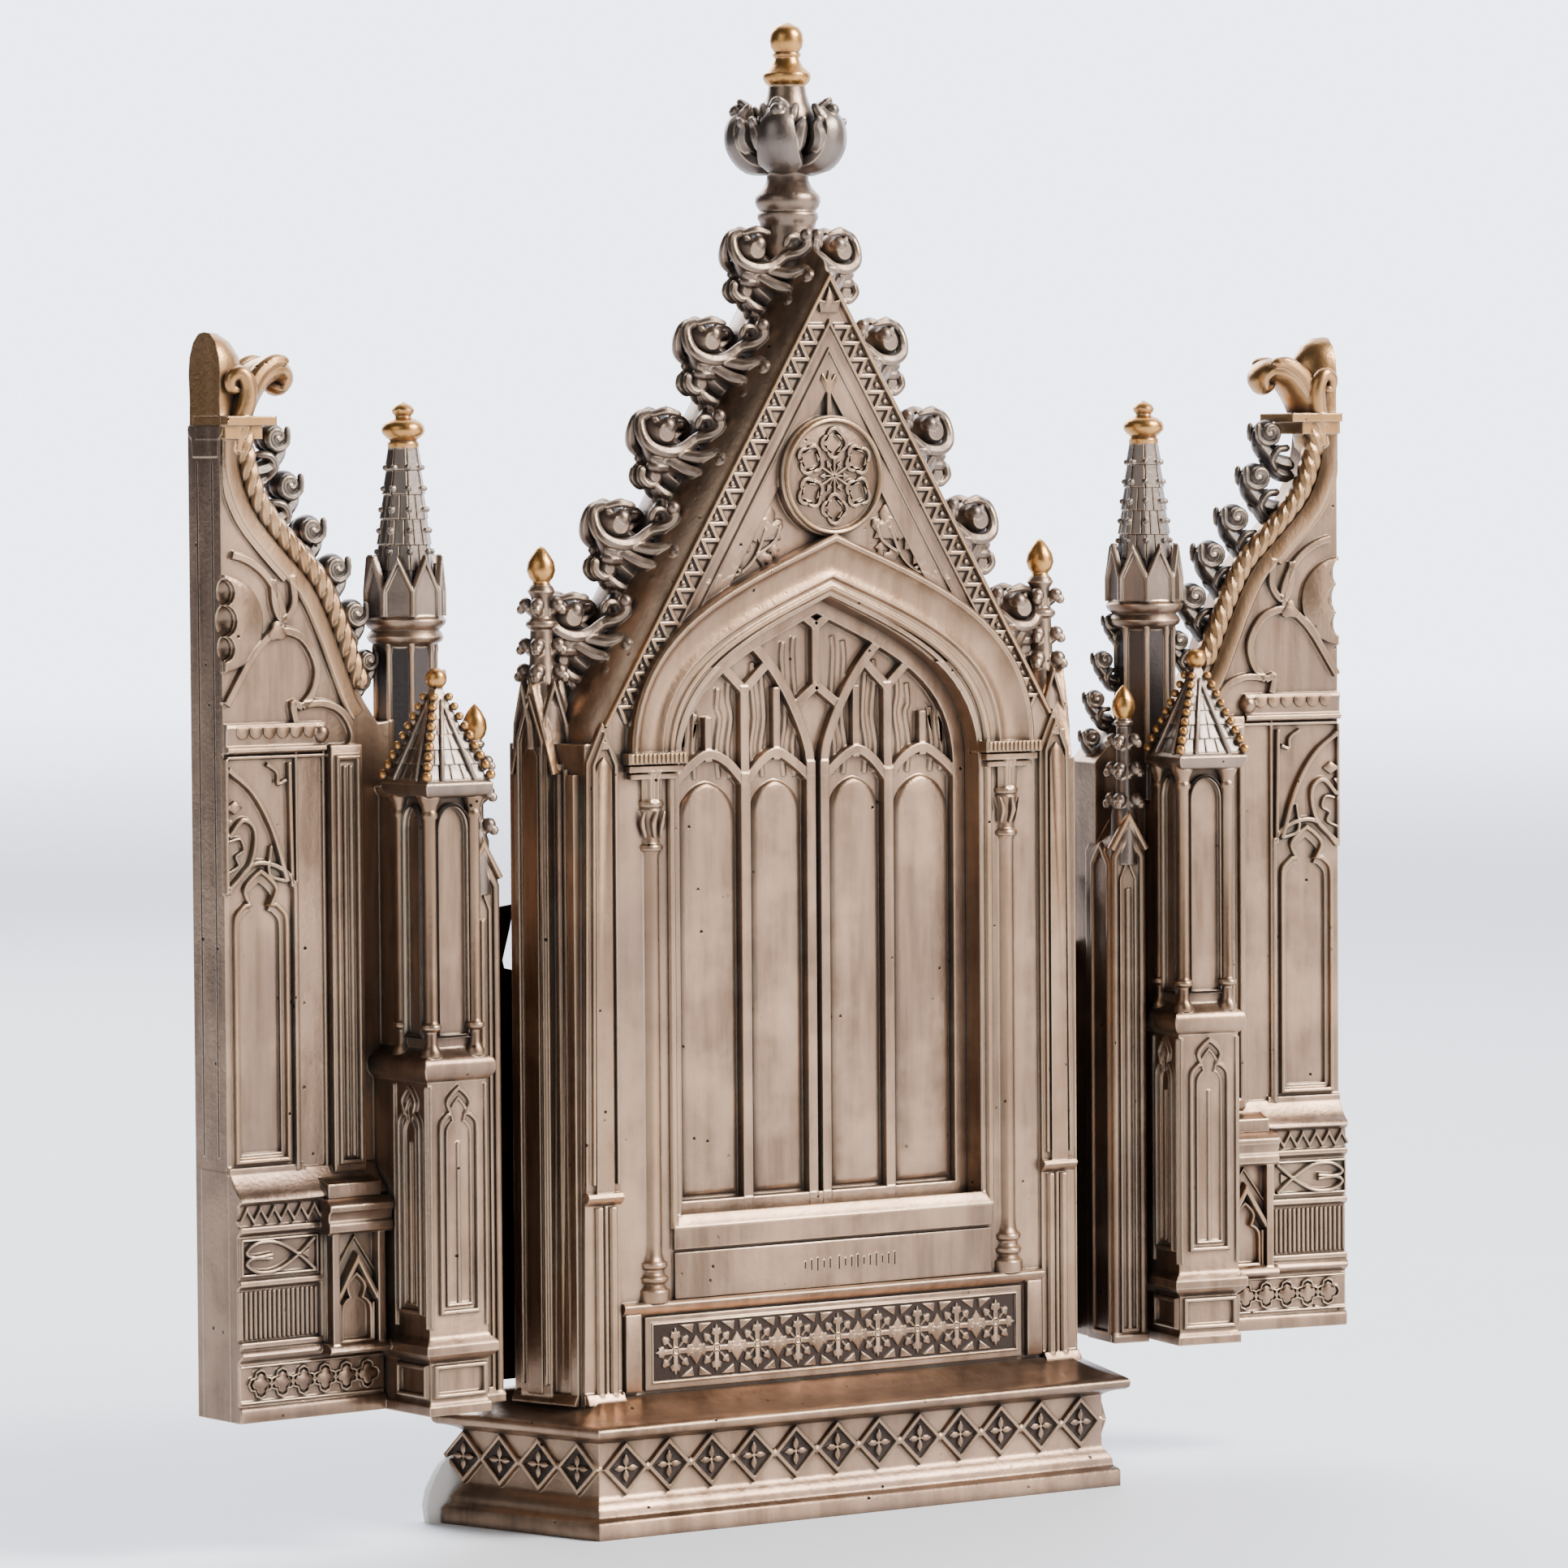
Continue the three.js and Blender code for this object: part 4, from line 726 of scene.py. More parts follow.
MEDAL_Z, MEDAL_R = 208.4, 12.2
disc = arc((0, MEDAL_Z), MEDAL_R, 0, 360, 48)[:-1]
shrine.add(back.plate(disc, 1.5, -1.2, 0.4), tone=0.05)
shrine.add(back.mould(arc((0, MEDAL_Z), MEDAL_R - 0.75, 0, 360, 48)[:-1],
                      [(-0.35, 1.0), (0.75, 1.0), (0.75, 2.0), (0.35, 2.5), (0.0, 2.5), (-0.35, 2.1)],
                      closed=True), tone=0.3)
for k in range(6):
    a = math.radians(90 + 60 * k)
    c, s = math.cos(a), math.sin(a)
    petals = foil((6.6 * c, MEDAL_Z + 6.6 * s), 3.0, 4, 6, 90 + 60 * k)
    shrine.add(back.bar(petals, 0.85, 2.2, closed=True, crown=0.7), tone=0.1)
    shrine.add(back.bar([(0, MEDAL_Z), (3.4 * c, MEDAL_Z + 3.4 * s)], 0.7, 2.15), tone=0.1)
    b = a + math.radians(30)
    shrine.add(back.bar([(0, MEDAL_Z), (2.2 * math.cos(b), MEDAL_Z + 2.2 * math.sin(b))], 0.45, 2.0))
    shrine.add(back.plate([(2.3 * math.cos(b + t) , MEDAL_Z + 2.3 * math.sin(b + t)) for t in (-0.25, 0.25)]
                          + [(3.6 * math.cos(b), MEDAL_Z + 3.6 * math.sin(b))], 2.1, 1.2, 0.1))
shrine.add(back.plate([(-0.5, 220.6), (-0.4, 225), (-1.9, 227.6), (-1.5, 229), (-0.6, 227.6), (0, 229.8),
                       (0.6, 227.6), (1.5, 229),
                       (1.9, 227.6), (0.4, 225), (0.5, 220.6)], 0.5, -1.2, 0.3), tone=0.15)


def leaflet(at, tip, wide=0.3, out=-0.1):
    """A three-lobed leaf from its stalk to its tip."""
    at, tip = np.array(at), np.array(tip)
    d = tip - at
    n = np.array([-d[1], d[0]]) * wide
    outline = [at, at + d * 0.25 + n * 0.7, at + d * 0.5 + n * 1.5, at + d * 0.58 + n * 0.7,
               at + d * 0.85 + n * 0.7,
               tip, at + d * 0.85 - n * 0.7, at + d * 0.58 - n * 0.7, at + d * 0.5 - n * 1.5,
               at + d * 0.25 - n * 0.7]
    return back.plate(outline, out, -1.3, 0.25)


def stalk(points):
    return back.bar(smooth_path(points, 4), 0.5, -0.2, root=-1.3)


sprig = shells(
    stalk([(28.5, 183.6), (25.2, 187.6), (20.8, 189.4), (17.4, 192.6), (15, 198)]),
    stalk([(17.4, 192.6), (13, 195.4), (11.6, 198.6)]),
    stalk([(20.8, 189.4), (23.4, 191)]),
    [leaflet(at, tip, wide, -0.06 - 0.05 * k) for k, (at, tip, wide) in enumerate((
        ((28.6, 183.4), (25.6, 188.9), 0.3), ((26.4, 187.4), (29.4, 187.2), 0.34),
        ((20.6, 190.4), (24.2, 194.4), 0.32),
        ((18.6, 193.4), (23.6, 198.2), 0.34), ((17.2, 195.2), (19.6, 202.4), 0.34),
        ((16.4, 195), (14, 202.8), 0.34),
        ((15, 195.6), (10.9, 199.6), 0.3), ((17.4, 192.4), (13.2, 191.8), 0.3),
        ((13.2, 195.4), (12.6, 191.9), 0.3),
    ))],
)
shrine.add(both(sprig))
print("gable relief done")

# %% [markdown]
# ## Crockets, finial and pinnacles
# Five scrolled crockets climb each slope. One is modelled as a bundle of tapering limbs: a crescent
# that curls at both ends round a berry, drooping leaves under it, and a thick stem between its near
# and far sides. The finial and pinnacles are lathe work with leaves set round them.

# %% Foliage
foliage = Casting()


def scroll(points, radii, y=0.0, sides=7, steps=4, flat=1.0):
    return limb([(x, y, z) for x, z in points], radii, sides, steps, flat)


def crocket():
    """One crocket about its berry, growing towards +X; near and far sides alike."""
    side = shells(
        limb([(-6, -4.8, 0), (-6.6, -5.0, 1.3), (-8.4, -5.0, 1.3), (-9.2, -4.8, -0.7), (-5.6, -4.7, -2.8),
              (-2.2, -4.4, -4.9), (1.6, -4.0, -5.2),
              (4.4, -3.0, -3.8), (5.4, -1.8, -1.2), (4.9, -0.9, 1.5), (2.8, -1.6, 2.4), (1.9, -2.4, 0.6)],
             (0.8, 0.9, 1.2, 1.35, 1.3, 1.1, 0.8), 8, 4),
        limb([(-2.6, -3.4, 2.4), (0.4, -3.2, 3.0), (3.0, -2.4, 2.4)], (0.6, 1.0, 0.7), 7, 4),
        limb([(-5.6, -4.4, -2.8), (-8.2, -6.2, -2.0), (-9.4, -8.0, -0.4), (-9.2, -8.4, 1.6)],
             (1.2, 1.3, 1.1, 0.9), 8, 4),
        ball((-9.0, -8.3, 1.9), 1.45, 10, 6),
        limb([(-1.6, -4.0, -5.6), (-5.4, -6.4, -6.4), (-8.0, -9.0, -5.6), (-8.0, -10.8, -6.6)],
             (1.2, 1.4, 1.1, 0.8), 8, 4),
        ball((-7.8, -11.0, -7.0), 1.45, 10, 6),
        limb([(0.6, -3.4, -6.6), (-2.6, -5.6, -8.8), (-5.0, -7.6, -9.8), (-4.8, -8.8, -12.0)],
             (1.2, 1.4, 1.1, 0.8), 8, 4),
        ball((-4.4, -8.8, -12.6), 1.4, 10, 6),
        ball((0, -3.0, 0), 1.9, 14, 8), ball((-7.4, -4.0, 0.2), 1.2, 10, 6),
        limb([(2.6, -2.8, -6.4), (-2.4, -3.2, -6.4), (-6.6, -3.4, -5.2), (-9.0, -3.4, -5.6)],
             (1.5, 1.5, 1.1, 0.8), 8, 4),
        ball((-9.4, -3.4, -5.9), 1.3, 10, 6),
        limb([(3.0, -2.4, -8.0), (-0.4, -2.8, -8.0), (-3.4, -3.0, -8.4), (-4.6, -3.0, -9.4)],
             (1.5, 1.4, 1.0, 0.8), 8, 4),
        ball((-4.8, -3.0, -9.6), 1.25, 10, 6),
        limb([(5.0, -1.4, -8.6), (5.2, -1.6, -10.4), (3.4, -1.8, -11.8), (1.4, -1.8, -10.8),
              (1.5, -1.8, -9.0), (3.0, -1.8, -8.9)], (1.0, 1.0, 0.9, 0.7, 0.5), 7, 4),
        limb([(-2.6, -2.4, -14.4), (0.4, -2.2, -13.4), (2.2, -1.8, -11.8)], (1.0, 1.1, 0.8), 7, 3),
        limb([(-2.4, -1.8, -16.4), (-0.4, -1.8, -15.2), (0.0, -1.8, -13.4)], (0.9, 0.9, 0.6), 7, 3),
    )
    far = [(p * (1, -1, 1), [f[::-1] for f in faces]) for p, faces in side]
    core = shells(
        limb([(0.8, -1.3, -1.3), (0.8, 1.3, -1.3)], (3.9, 3.9), 18, 3, across=(0, 0, 1)),
        limb([(2.4, -0.8, -10.0), (2.4, 0.8, -10.0)], (2.4, 2.4), 14, 3, across=(0, 0, 1)),
        scroll([(-6.0, -13), (-0.6, -9), (1.6, -5.6), (3.0, -2.4), (3.2, 0.6), (1.6, 2.2)],
               (3.2, 2.4, 1.6, 1.3, 1.1, 0.8), 0, 10, 4, 1.35),
        scroll([(-8.0, -9.4), (-4.6, -5.4), (-1.2, -2.6)], (2.2, 2.0, 1.6), 0, 9, 4, 1.4),
        scroll([(-8.0, -17), (-3.0, -14.6), (0.6, -12.4)], (2.8, 2.4, 1.6), 0, 8),
    )
    return side + far + core


CROCKETS, CROCKET_Y = 5, 13.5
heights = [255.1 - 18.25 * k for k in range(CROCKETS)]
one = crocket()
reach = [(APEX_Z - z) * math.tan(SLOPE) + 13.1 for z in heights]
for side in (-1, 1):
    motif = one if side > 0 else mirrored(one)
    foliage.add(row(motif, [(side * x, CROCKET_Y, z) for x, z in zip(reach, heights)], 0.0,
                    [0.94, 0.97, 1, 1, 0.97]), tone=-0.3)
    stem = [(side * ((APEX_Z - z) * math.tan(SLOPE) + 1.2), CROCKET_Y, z) for z in (247, 226, 205, 184, 164)]
    foliage.add(limb(stem, (2.6, 3.0, 3.0, 3.0, 2.6), 10, 6), tone=-0.8)

TOP_Y = 14.4
foliage.add(lathe([(7.0, 250), (6.4, 255.4), (5.6, 258.6), (5.8, 259.8), (6.2, 260.4), (6.2, 261.4),
                   (5.7, 262.0), (6.3, 262.8), (6.7, 263.8),
                   (6.6, 264.9), (6.0, 265.6), (4.9, 266.8), (4.3, 268.2), (4.2, 269.4), (4.7, 270.2),
                   (4.8, 271.2), (4.6, 272), (5.4, 273.4),
                   (6.6, 277), (6.0, 281), (4.6, 283.6), (4.0, 285.4), (3.7, 287.4)], (0, TOP_Y), 28),
            tone=-0.25)
foliage.add(lathe([(3.7, 287.2), (4.5, 287.9), (4.9, 288.8), (4.85, 289.6), (4.3, 290.2), (3.4, 291.0),
                   (2.7, 292.2), (2.5, 292.9), (2.9, 293.3),
                   (2.9, 293.7), (2.5, 294.0), (3.2, 295.0), (3.45, 296.3), (3.3, 297.7), (2.6, 298.9),
                   (1.5, 299.5), (0.8, 299.9), (0, 300)],
                  (0, TOP_Y), 28), tone=1.0)


def acanthus():
    """A curling leaf of the finial about its own axis, leaning towards +X."""
    lobes = shells(
        scroll([(2.6, -7.0), (7.4, -6.6), (10.2, -3.4), (10.4, 0.6), (8.4, 3.6), (9.6, 5.4)],
               (2.3, 2.7, 2.5, 2.1, 1.5, 0.8), 0, 10, 5, 1.75),
        ball((10.4, 0, 3.4), 1.5, 10, 6),
    )
    for s in (-1, 1):
        lobes += shells(
            limb([(6.0, s * 1.4, -6.0), (9.2, s * 3.6, -3.0), (9.4, s * 4.6, 0.0), (10.2, s * 5.2, 1.4)],
                 (1.6, 1.9, 1.4, 0.8), 8, 4),
            limb([(7.0, s * 1.2, -1.6), (9.2, s * 2.6, 1.6), (8.2, s * 3.4, 4.2)], (1.4, 1.5, 0.8), 8, 4),
        )
    return lobes


foliage.add(row(acanthus(), [(0, TOP_Y, 278.6)] * 5, [math.radians(a - 62) for a in (0, 72, 144, 216, 288)]),
            tone=-0.45)

BUD = [(2.0, 187.2), (1.7, 187.9), (2.4, 188.7), (2.9, 190.2), (2.6, 191.9), (1.7, 193.4), (0.9, 194.5),
       (0.1, 195.0)]
knobs = shells(ball((0, 0, 0), 1.35, 8, 5), ball((0.9, 0, -0.9), 0.9, 8, 4),
               limb([(-1.6, 0, -1.6), (-0.4, 0, -0.6), (0.6, 0, 0.2)], (0.9, 0.9, 0.6), 6, 2))


def pinnacle(x, y, drop=0.0, slim=1.0):
    """A crocketed pinnacle whose bud sits at 195 mm less drop."""
    parts = shells(
        lathe([(r * slim, z - drop) for r, z in [
            (4.5, 148), (4.5, 163), (3.8, 166), (2.7, 168.6), (2.3, 178.4), (3.2, 179.2), (3.2, 180),
            (2.2, 180.8), (2.0, 184.8), (2.8, 186.0), (2.4, 186.9), (1.9, 187.4)]],
            (x, y), 16),
        [Face((x + 4.2 * slim * math.sin(a), y - 4.2 * slim * math.cos(a)), (math.cos(a), math.sin(a)),
              (math.sin(a), -math.cos(a)))
         .bar([(-3.0, 155 - drop), (-2.6, 160 - drop), (0, 167.6 - drop), (2.6, 160 - drop),
               (3.0, 155 - drop)], 0.9, 0.8)
         for a in (0, math.pi / 2, math.pi, -math.pi / 2)],
    )
    places, turns, sizes = [], [], []
    for z, r, size in ((170.2, 3.6, 1.25), (175.4, 3.3, 1.15), (183.4, 3.2, 1.1)):
        for k in range(4):
            a = math.pi / 4 + k * math.pi / 2
            places.append((x + r * slim * math.cos(a), y + r * slim * math.sin(a), z - drop))
            turns.append(a)
            sizes.append(size * slim)
    return parts, shells(row(knobs, places, turns, sizes))


for side in (-1, 1):
    shaft, leaves = pinnacle(side * 60.4, 12.1)
    foliage.add(shaft, tone=-0.2)
    foliage.add(leaves, tone=-0.3)
    foliage.add(lathe(BUD, (side * 60.4, 12.1), 16), tone=1.0)
print("foliage done")

# %% [markdown]
# ## A wing
# A wing is drawn once, about its hinge axis: `u` runs outwards from the pin and `v` stands out
# towards the façade. It is a slab with a moulded base, a blind lancet, a half gable edged by a rope,
# a corner turret, an octagonal tower with a stone steeple and a pilaster beside the hinge.

# %% Wing base
CLOSE, END, BACK_V, WALL_V = 67.3, 9.6, 0.3, 11.6
wing = Casting()


def wing_face(v):
    """The upright face that stands v from the hinge axis."""
    return Face((0, -v))


base_section = [
    (BACK_V + 2, 27), (15.2, 27), (15.5, 27.4), (15.5, 29.4), (15.2, 29.9), (14.7, 30.2), (14.7, 38.6),
    (15.1, 39.0), (16.0, 39.6), (16.2, 40.2),
    (15.9, 40.8), (15.4, 41.2), (15.8, 41.7), (15.7, 42.5), (14.6, 42.9), (14.6, 52.8), (15.2, 53.1),
    (15.8, 53.6), (15.6, 54.4), (14.9, 54.8),
    (14.9, 63.2), (15.5, 63.5), (16.0, 64.0), (15.9, 64.8), (15.1, 65.1), (15.1, 69.0), (15.7, 69.3),
    (16.2, 69.9), (16.0, 70.6), (15.2, 71.2),
    (13.9, 72.6), (12.8, 74.2), (12.1, 75.4), (BACK_V + 2, 75.4),
]
wing.add(loft([[(u, -v, z) for v, z in base_section] for u in (33.5, CLOSE - 0.35, CLOSE)][:2] +
              [[(CLOSE - 0.09, -(BACK_V + (v - BACK_V) * 0.98), z) for v, z in base_section]]))
sunk = wing_face(14.7)
quatrefoil = shells(flat.plate(foil((0, 0), 2.0, 4, 4), 0.75, -0.2, 0.2),
                    flat.bar(foil((0, 0), 2.75, 4, 4, 0), 0.5, 0.7, closed=True))
wing.add(row(quatrefoil, [(37.8 + 4.95 * k, -14.7, 34.4) for k in range(6)]))
wing.add(sunk.bar([(34, 30.9), (67, 30.9)], 0.5, 0.5), sunk.bar([(34, 37.9), (67, 37.9)], 0.5, 0.5))
reed = flat.bead([(0, -4.6), (0, 4.6)], 0.42, 0.1, sides=6)
wing.add(row(reed, [(49.3 + 1.08 * k, -14.6, 47.8) for k in range(17)]))
wing.add(sunk.bar([(48.3, 42.6), (48.3, 64)], 1.0, 0.9))
panel = wing_face(14.9)
wing.add(panel.bar([(49.4, 55.6), (66.6, 55.6), (66.6, 62.4), (49.4, 62.4)], 0.6, 0.8, closed=True))
wing.add(panel.bar(smooth_path([(50.2, 62.0), (54.0, 58.9), (58.6, 56.4), (63.2, 56.2), (65.8, 57.8),
                                (64.2, 58.9), (60, 58.6)], 4), 0.85, 1.2),
         panel.bar(smooth_path([(50.2, 56.0), (54.0, 59.1), (58.6, 61.6), (63.2, 61.8), (65.8, 60.2),
                                (64.2, 59.1), (60, 59.4)], 4), 0.85, 1.2),
         panel.plate([(51.2, 58), (53.0, 59), (51.2, 60)], 0.6, -0.2, 0.1))
zig = [(48.6 + 1.55 * k, 68.4 if k % 2 else 65.9) for k in range(13)]
wing.add(wing_face(15.1).bar(zig, 0.7, 0.9))

# the bay post: a gabled niche under a moulded cap
post = wing_face(18.6)
wing.add(post.box(34.6, 48.2, 40.2, 63.4, -2.4, -9), post.bar([(36.4, 40), (36.4, 62.6)], 1.5, 0, root=-3),
         post.bar([(47.0, 40), (47.0, 62.6)], 1.5, 0, root=-3))
cap_section = [(-9, 62.4), (0, 62.4), (0.7, 63.0), (0.7, 64.4), (0.2, 65.0), (0.4, 66.4), (1.0, 67.0),
               (1.1, 68.0), (0.5, 68.6), (-0.6, 69.2), (-9, 69.6)]
wing.add(loft([[post.at(s, z, out) for out, z in cap_section] for s in (34.2, 48.8)]))
wing.add(loft([[post.at(s, z, out - 1.6) for out, z in [(-6, 69.4), (0, 69.4), (0, 72),
                                                        (-6, 73.6)]] for s in (35.4, 47.6)]))
wing.add(loft([[post.at(s, z, out) for out, z in [(-9, 39.2), (0.4, 39.2), (0.8, 39.8), (0.4, 40.6),
                                                  (-0.6, 41.2), (-9, 41.4)]] for s in (34.0, 48.8)]))
niche = wing_face(16.2)
wing.add(niche.bar([(36.9, 49.4), (41.6, 57.4), (46.5, 49.4)], 1.5, 2.2),
         niche.bar([(36.9, 54.6), (41.6, 61.6), (46.5, 54.6)], 0.5, 0.7),
         niche.bar(trefoil_door(3.4, 41.4, 46.4, 54.4, 41.6)[::2], 0.7, 1.4, closed=True),
         niche.bar([(37.8, 41), (37.8, 48.6)], 0.7, 1.6), niche.bar([(45.6, 41), (45.6, 48.6)], 0.7, 1.6),
         tone=0.1)

# %% [markdown]
# ### Wing wall and half gable
# The wall is one slab whose inner edge follows the ogee of the half gable. Bars raised on it draw a
# lancet with a leaf head, the cusped tracery over it, a scalloped string course and the half rose.

# %% Wing wall
OGEE = smooth_path([(63.0, 219), (62.0, 211), (59.0, 203.6), (53.4, 197.0), (46.2, 189.6), (42.0, 182),
                    (38.4, 173.4), (35.4, 166.6), (31.4, 161)], 3)
wall = wing_face(WALL_V)
slab = wall.plate([(END, 27), (CLOSE - 0.04, 27), (CLOSE - 0.04, 219), *OGEE, (22, 162), (END, 148)], 0,
                  BACK_V - WALL_V)
inner = Face((0, -BACK_V), (1, 0), (0, 1))
scoops = [ball((CLOSE + 0.2, -WALL_V - 0.9, z), r, 16, 8) for z,
          r in ((187.0, 2.7), (181.5, 3.2), (176.2, 2.6))]
wing.add(carved(slab, [
    wall.plate(trefoil_door(4.6, 78.6, 121.4, 131.0, 59.4), 2, -0.8),
    scoops,
    inner.plate(doorway(15, 40, 112, 136, 40, 10, 42), 2, -1),
]))
wing.add(wall.bar(trefoil_door(5.9, 77.2, 122.2, 133.2, 59.4), 1.1, 1.0, closed=True), tone=0.15)
wing.add(wall.bar([(51.6, 75), (51.6, 131)], 1.3, 1.2),
         wall.bar(smooth_path([(51.6, 130), (53.2, 132.6), (57.6, 134.6), (62, 134.2), (66.7, 129.2)], 4),
                  1.2, 1.1),
         wall.mould([(50, 75.6), (67.2, 75.6)], [(-0.8, -0.4), (0.8, -0.4), (0.4, 0.7), (-0.4, 0.9),
                                                 (-0.8, 0.8)]))
# tracery between the lancet and the string course
wing.add(
    wall.bar(smooth_path([(66.7, 153.0), (61.0, 148.4), (56.6, 141), (53.4, 131)], 4), 1.4, 1.3),
    wall.bar([(52.6, 154), (52.2, 130)], 1.1, 1.1), wall.bar([(67.0, 155), (67.0, 129)], 0.9, 1.0),
    wall.bar(smooth_path([(53.4, 131), (57.4, 132.6), (57.0, 138)], 4), 0.9, 1.0),
    wall.bar(smooth_path([(53.4, 150.6), (55.2, 150.0), (55.4, 152.2), (57.8, 153.8)], 4), 0.9, 1.0),
    wall.bar(smooth_path([(66.6, 130.0), (61.8, 134.6), (60.6, 141), (63.4, 143.2), (66.6, 140.0)], 4), 1.2,
             1.2),
    wall.bar(smooth_path([(67, 133), (64.4, 134.4), (65.0, 136.2), (63.2, 137.4), (64.0, 139.6), (67, 139)],
                         4), 0.7, 0.9),
    wall.plate([(63.4, 145.6), (65.2, 144.3), (67.2, 145.6), (65.2, 147.0)], 1.0, -0.3, 0.4),
    wall.plate([(65.8, 143.4), (67.2, 141.4), (67.2, 143.4)], 0.9, -0.3, 0.2),
    tone=0.05,
)
# the pilaster over the bay post, with its sunk reeded panel
wing.add(wall.box(36.6, 43.8, 74, 157, 2.2, -0.6, 0.4), wall.bar([(51.0, 75), (51.0, 156)], 0.9, 0.8),
         wall.bar([(44.6, 75), (44.6, 156)], 0.8, 0.7))
shaft = wing_face(WALL_V + 2.2)
wing.add(shaft.bar([(37.9, 76), (37.9, 154.6), (42.6, 154.6), (42.6, 76)], 1.1, 0.9, closed=True),
         [shaft.bead([(x, 77), (x, 153)], 0.5, 0.05) for x in (39.4, 40.9)])

# the string course with its scallops
wing.add(wall.mould([(44.6, 159.0), (67.2, 159.0)], [(-3.0, -0.5), (2.6, -0.5), (2.6, 1.2), (2.0, 1.5),
                                                     (1.4, 1.2), (-1.6, 1.0), (-2.0, 1.8), (-2.6, 1.9),
                                                     (-3.0, 1.5)]),
         wall.bar([(41.6, 155.2), (66.8, 155.2)], 0.9, 0.9), ball((45.4, -WALL_V - 0.6, 159.4), 1.9, 12, 6))
scallop = shells(flat.plate(np.vstack([arc((0, 0.6), 1.45, 200, 340, 6), [(1.4, 1.5), (-1.4, 1.5)]]), 0.75,
                            -0.3, 0.3))
wing.add(row(scallop, [(48.2 + 3.1 * k, -WALL_V - 0.9, 159.6) for k in range(6)]), tone=0.1)
# half rose, its rings and the leaf shapes beside it
rose = np.vstack([[(67.2, 190.4)], arc((67.6, 181), 9.2, 108, 252, 12), [(67.2, 171.6)]])
wing.add(
    carved(wall.plate(rose, 1.2, -0.5, 0.4), [scoops]), wall.bar(arc((67.6, 180.4), 14.0, 100, 176, 10), 1.6,
            1.2, crown=0.75),
    wall.bar(smooth_path([(53.8, 181), (56.8, 178.6), (60.8, 174.6), (66.8, 165.4)], 4), 1.8, 1.2,
             crown=0.75),
    wall.bar(smooth_path([(56.0, 189.4), (55.6, 184.6), (53.8, 181.4), (51.2, 184.6), (51.6, 190.0)], 4),
             1.6, 1.2, crown=0.75),
    wall.bar(smooth_path([(56.6, 178.6), (53.2, 179.4), (48.8, 177.6), (46.0, 172.6), (46.8, 167.8),
                          (49.6, 164.6)], 4), 1.8, 1.2, crown=0.75),
    wall.bar(smooth_path([(49.6, 164.6), (51.6, 165.2), (51.0, 161.8)], 4), 1.6, 1.2, crown=0.75),
    wall.bar(smooth_path([(49.4, 165.0), (44.6, 165.2), (40.2, 163.4), (37.8, 159.4), (38.8, 156.6),
                          (43, 156.4)], 4), 1.6, 1.2, crown=0.75),
    wall.plate(foil((55.4, 179.2), 2.2, 3, 4, 90), 1.45, -0.3, 0.2),
    tone=0.05,
)

# %% [markdown]
# ### Rope, crockets and crowning volute
# The rope along the half gable is three strands wound round one path, so it reads as twisted from
# every side. Curled leaves climb behind it, up to a volute that carries half of a domed cap.

# %% Wing edge
edge_path = np.array([(min(u + 3.0 - 0.5 * i / len(OGEE), 65.4), z - 2.0) for i,
                      (u, z) in enumerate(OGEE[:-2])])
wing.add(wall.mould(edge_path, [(-1.9, -0.5), (1.7, -0.5), (1.7, 0.7), (1.2, 1.25), (-1.0, 1.25),
                                (-1.9, 0.6)]), tone=0.2)
wing.add(wall.mould(np.minimum(edge_path[:12] + (1.6, -0.6), (66.2, 300)),
                    [(-0.9, -0.5), (0.9, -0.5), (0.9, 0.8), (-0.9, 0.8)]), tone=0.2)
rope_path = smooth_path([(u - 0.8, -WALL_V + 0.2, z + 0.2) for u, z in OGEE[:-3:2]], 12)
travel = np.r_[0, np.cumsum(np.linalg.norm(np.diff(rope_path, axis=0), axis=1))]
ahead = np.gradient(rope_path, axis=0)
ahead /= np.linalg.norm(ahead, axis=1)[:, None]
out_of = np.cross(ahead, (0, 1, 0))
for strand in range(3):
    a = travel / 9.6 * 2 * math.pi + strand * 2 * math.pi / 3
    lay = rope_path + 0.98 * (np.cos(a)[:, None] * out_of + np.sin(a)[:, None] * (0, 1, 0))
    wing.add(limb(lay, np.full(len(lay), 1.3), 7, 1), tone=0.45)

curl = shells(
    ball((-0.2, 0, 0.4), 3.1, 16, 8, 0.95),
    [limb([(-0.2 + r * math.cos(a), side * (2.0 + 0.9 * k / 9), 0.4 + r * math.sin(a))
           for k in range(10) for a, r in [(2.6 + k * 0.95, 3.3 - 0.32 * k)]], (0.7, 0.8, 0.7, 0.5), 7,
          2) for side in (-1, 1)],
    scroll([(5.2, -7.0), (1.6, -6.0), (-1.6, -3.0), (-2.6, 0.2)], (2.0, 2.0, 1.7, 1.0), 0, 9, 4, 1.5),
    scroll([(5.6, -9.6), (2.6, -9.0), (0.2, -6.4), (-1.2, -5.8)], (1.6, 1.6, 1.1, 0.7), 0, 8, 4, 1.5),
    [limb([(4.4, side * 2.0, -3.2), (1.8, side * 2.7, -3.6), (0.2, side * 2.5, -6.0),
           (1.6, side * 2.0, -8.2)], (0.9, 0.9, 0.8, 0.5), 7, 3) for side in (-1, 1)],
)
for u, z, size in ((52.8, 216.4, 0.92), (50.0, 207.2, 0.96), (44.8, 198.6, 0.96), (39.2, 191.0, 0.96),
                   (34.8, 182.2, 0.92), (31.4, 173.0, 0.7)):
    wing.add(moved(curl, (u, -7.0, z), size), tone=-0.8)
for u, z, size in ((11.4, 153.0, 0.62), (12.4, 161.0, 0.62), (14.4, 169.2, 0.62), (16.6, 177.2, 0.55)):
    wing.add(moved(curl, (u, -6.0, z), size), tone=-0.8)

